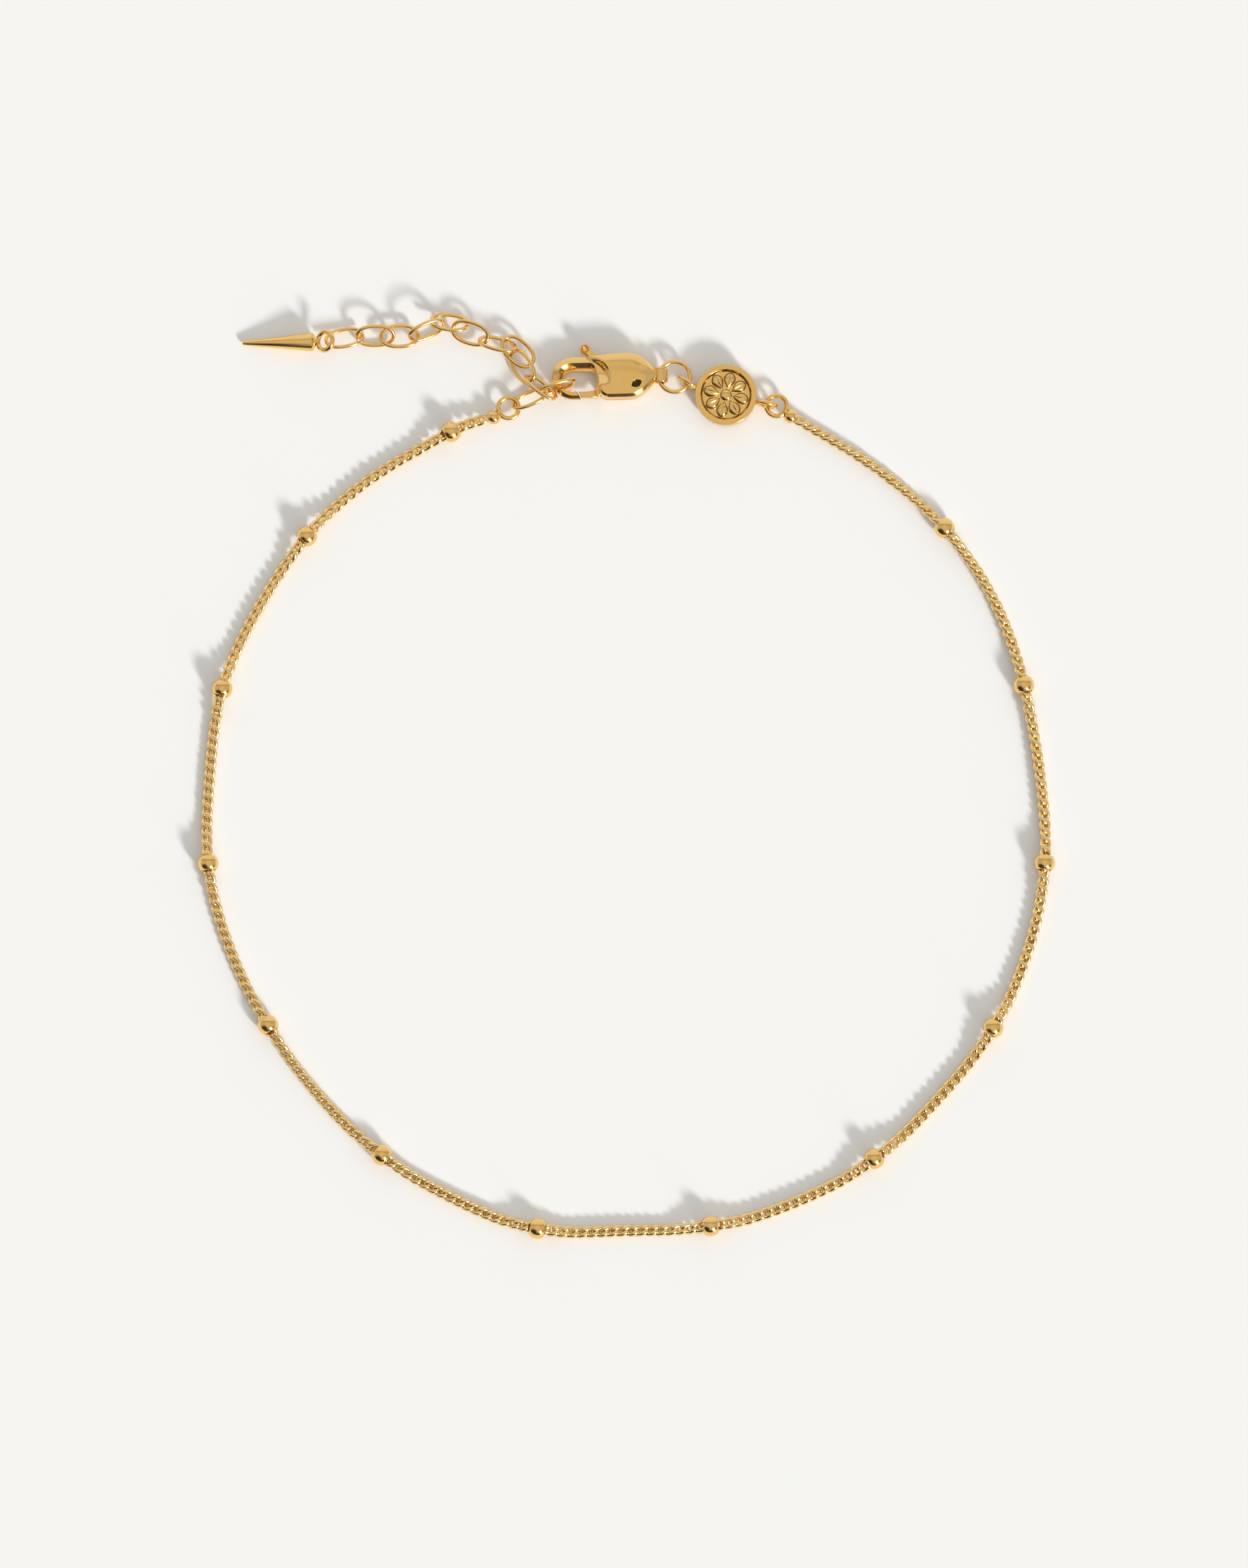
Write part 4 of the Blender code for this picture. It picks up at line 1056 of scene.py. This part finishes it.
class ANKLET_OT_end_rings(bpy.types.Operator):
    """Build the ring, neck and ball at each end of the chain"""

    bl_idname = "anklet.end_rings"
    bl_label = "End Rings"

    def execute(self, context):
        for node in ("end_ring_left", "end_ring_right"):
            name = node.replace("end_ring", "ball_ring")
            add_piece(name, end_ring_shells(node), gold("ring_gold"), ANKLET, node)
        return {"FINISHED"}


class ANKLET_OT_extension(bpy.types.Operator):
    """Build the oval links of the extension chain"""

    bl_idname = "anklet.extension"
    bl_label = "Extension Links"

    def execute(self, context):
        for node in sorted(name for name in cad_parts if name.startswith("extension_link_")):
            middle, axes, half = lie_of(node_points(node))
            wire = 2 * half[2]
            length, width = half[:2] - wire / 2 * math.cos(math.pi / 6)
            name = node.replace("extension_link", "oval_link")
            link = oval_wire(middle, axes, length, width, wire, LINK_POWER, LINK_SIDES)
            add_piece(name, [link], gold("ring_gold"), ANKLET, node)
        return {"FINISHED"}


class ANKLET_OT_spike(bpy.types.Operator):
    """Build the spike with its cap and ring"""

    bl_idname = "anklet.spike"
    bl_label = "Spike"

    def execute(self, context):
        add_piece("spike", spike_shells(), gold("spike_gold"), ANKLET, "spike_charm")
        return {"FINISHED"}


class ANKLET_OT_clasp(bpy.types.Operator):
    """Build the clasp's body with its eye, the lever and the rivet"""

    bl_idname = "anklet.clasp"
    bl_label = "Clasp"

    def execute(self, context):
        finish = gold("clasp_gold", 0.14)
        case = add_piece("clasp_case", clasp_body_mesh(), finish, ANKLET, "clasp_body")
        case.data.shade_smooth()
        case.data.set_sharp_from_angle(angle=math.radians(CASE_SHARP))
        normals = case.modifiers.new("Normals", "WEIGHTED_NORMAL")
        normals.keep_sharp = True
        eye = add_piece("clasp_eye", [eye_shell()], finish, ANKLET)
        eye.parent = case
        add_piece("clasp_gate", lever_shells(), finish, LEVER, "clasp_lever")
        # The rivet is coloured near black, painted shade of its recessed head
        add_piece("rivet", [rivet_shell()], rivet_shade_metal(), ANKLET, "clasp_rivet")
        return {"FINISHED"}


class ANKLET_OT_jump_ring(bpy.types.Operator):
    """Build the round ring between the clasp and the tag"""

    bl_idname = "anklet.jump_ring"
    bl_label = "Jump Ring"

    def execute(self, context):
        middle, axes, half = lie_of(node_points("jump_ring"))
        wire = 2 * half[2]
        radius = half[0] - wire / 2 * math.cos(math.pi / 6)
        ring = oval_wire(middle, axes, radius, radius, wire)
        add_piece("round_ring", [ring], gold("ring_gold"), ANKLET, "jump_ring")
        return {"FINISHED"}


class ANKLET_OT_tag(bpy.types.Operator):
    """Build the round tag with its rim, flower and eyes"""

    bl_idname = "anklet.tag"
    bl_label = "Tag"

    def execute(self, context):
        add_piece("round_tag", tag_shells(), tag_gold(), ANKLET, "tag_disc")
        return {"FINISHED"}


def key_way():
    """The unit vector from the anklet towards the key light."""
    bearing, rise = math.radians(KEY_BEARING), math.radians(KEY_ELEVATION)
    return Vector((math.cos(bearing) * math.cos(rise), math.sin(bearing) * math.cos(rise), math.sin(rise)))


def steps_of(tree, first, *others):
    """A socket with the product of eased steps, each given as a value and its start and end."""
    product = smooth_step(tree, *first)
    for step in others:
        product = calculate(tree, "MULTIPLY", product, smooth_step(tree, *step))
    return product


def build_world(scene):
    """Soft light from all round: dark low down on the camera's side and on its left, warmer overhead, with a
    tall bright panel round the key."""
    world = bpy.data.worlds.new("studio")
    world.use_nodes = True
    tree = world.node_tree
    direction = add_node(tree, "ShaderNodeTexCoord").outputs["Generated"]
    split = add_node(tree, "ShaderNodeSeparateXYZ", {"Vector": direction})
    x, y, z = (split.outputs[axis] for axis in "XYZ")
    low = steps_of(tree, (z, 0.64, 0.40), (y, -0.05, -0.60))
    left = steps_of(tree, (x, 0.02, -0.30), (y, -0.05, -0.40), (z, 0.88, 0.74))
    dark = calculate(tree, "MAXIMUM", low, left)
    colour = blend(tree, "MIX", dark, grey_ramp(tree, y, SKY_STOPS, "EASE"), DARK)
    colour = blend(tree, "MULTIPLY", steps_of(tree, (z, 0.84, 0.96)), colour, OVERHEAD)
    bearing = math.radians(KEY_BEARING)
    sideways = along_way(tree, direction, (-math.sin(bearing), math.cos(bearing), 0))
    aside = calculate(tree, "ABSOLUTE", sideways)
    ahead = along_way(tree, direction, (math.cos(bearing), math.sin(bearing), 0))
    panel = steps_of(tree, (aside, *PANEL_SIDE), (ahead, 0.3, 0.5), (z, *PANEL_TOP), (z, 0.0, 0.06))
    colour = blend(tree, "MIX", panel, colour, PANEL_LIGHT)
    colour = blend(tree, "MIX", steps_of(tree, (z, -0.01, -0.03)), colour, GROUND)
    tree.links.new(colour, tree.nodes["Background"].inputs["Color"])
    scene.world = world


class ANKLET_OT_stage(bpy.types.Operator):
    """Build the floor, the lights and the camera"""

    bl_idname = "anklet.stage"
    bl_label = "Stage"

    def execute(self, context):
        scene = context.scene
        floor_mesh = bpy.data.meshes.new("floor")
        corners = [(x * FLOOR_REACH, y * FLOOR_REACH, 0) for x, y in ((-1, -1), (1, -1), (1, 1), (-1, 1))]
        floor_mesh.from_pydata(corners, [], [(0, 1, 2, 3)])
        floor = add_object("floor", floor_mesh)
        paper = bpy.data.materials.new("paper")
        paper.use_nodes = True
        shader = paper.node_tree.nodes["Principled BSDF"]
        shader.inputs["Base Color"].default_value = scene.anklet_colours.floor
        shader.inputs["Roughness"].default_value = 0.9
        shader.inputs["Specular IOR Level"].default_value = 0.1
        floor_mesh.materials.append(paper)
        build_world(scene)
        way = key_way()
        key = bpy.data.lights.new("key", "SUN")
        key.angle = math.radians(KEY_ANGLE)
        key.energy = KEY_STRENGTH
        lamp = add_object("key", key)
        lamp.location = way * KEY_DISTANCE
        lamp.rotation_euler = way.to_track_quat("Z", "Y").to_euler()
        camera = bpy.data.cameras.new("camera")
        camera.type = "ORTHO"
        camera.ortho_scale = PICTURE_HEIGHT * MM
        camera.clip_start = 0.01
        camera.clip_end = 10
        viewer = add_object("camera", camera)
        rise = math.radians(CAMERA_ELEVATION)
        back = Vector((0, -math.cos(rise), math.sin(rise)))
        viewer.location = Vector((*PICTURE_CENTRE, 0)) * MM + back * CAMERA_DISTANCE
        viewer.rotation_euler = back.to_track_quat("Z", "Y").to_euler()
        scene.camera = viewer
        scene.view_settings.view_transform = "Standard"
        return {"FINISHED"}


PIECES = (
    ANKLET_OT_curb_chain, ANKLET_OT_beads, ANKLET_OT_end_rings, ANKLET_OT_extension, ANKLET_OT_spike,
    ANKLET_OT_clasp, ANKLET_OT_jump_ring, ANKLET_OT_tag, ANKLET_OT_stage,
)


class ANKLET_PT_pieces(bpy.types.Panel):
    """The anklet's sizes and colours, and a button for each piece."""

    bl_idname = "ANKLET_PT_pieces"
    bl_label = "Charm Anklet"
    bl_space_type = "VIEW_3D"
    bl_region_type = "UI"
    bl_category = "Anklet"

    def draw(self, context):
        layout = self.layout
        for settings in (context.scene.anklet_sizes, context.scene.anklet_colours):
            for name in settings.bl_rna.properties.keys():
                if name not in ("rna_type", "name"):
                    layout.prop(settings, name)
        for operator in PIECES:
            layout.operator(operator.bl_idname)


CLASSES = (AnkletSizes, AnkletColours, *PIECES, ANKLET_PT_pieces)


def register():
    """Register the classes and their settings."""
    for item in CLASSES:
        bpy.utils.register_class(item)
    bpy.types.Scene.anklet_sizes = bpy.props.PointerProperty(type=AnkletSizes)
    bpy.types.Scene.anklet_colours = bpy.props.PointerProperty(type=AnkletColours)


def unregister():
    """Remove the settings and the classes."""
    del bpy.types.Scene.anklet_colours
    del bpy.types.Scene.anklet_sizes
    for item in reversed(CLASSES):
        bpy.utils.unregister_class(item)


def main():
    register()
    for operator in PIECES:
        group, name = operator.bl_idname.split(".")
        getattr(getattr(bpy.ops, group), name)()
    bpy.context.view_layer.update()


if __name__ == "__main__":
    main()
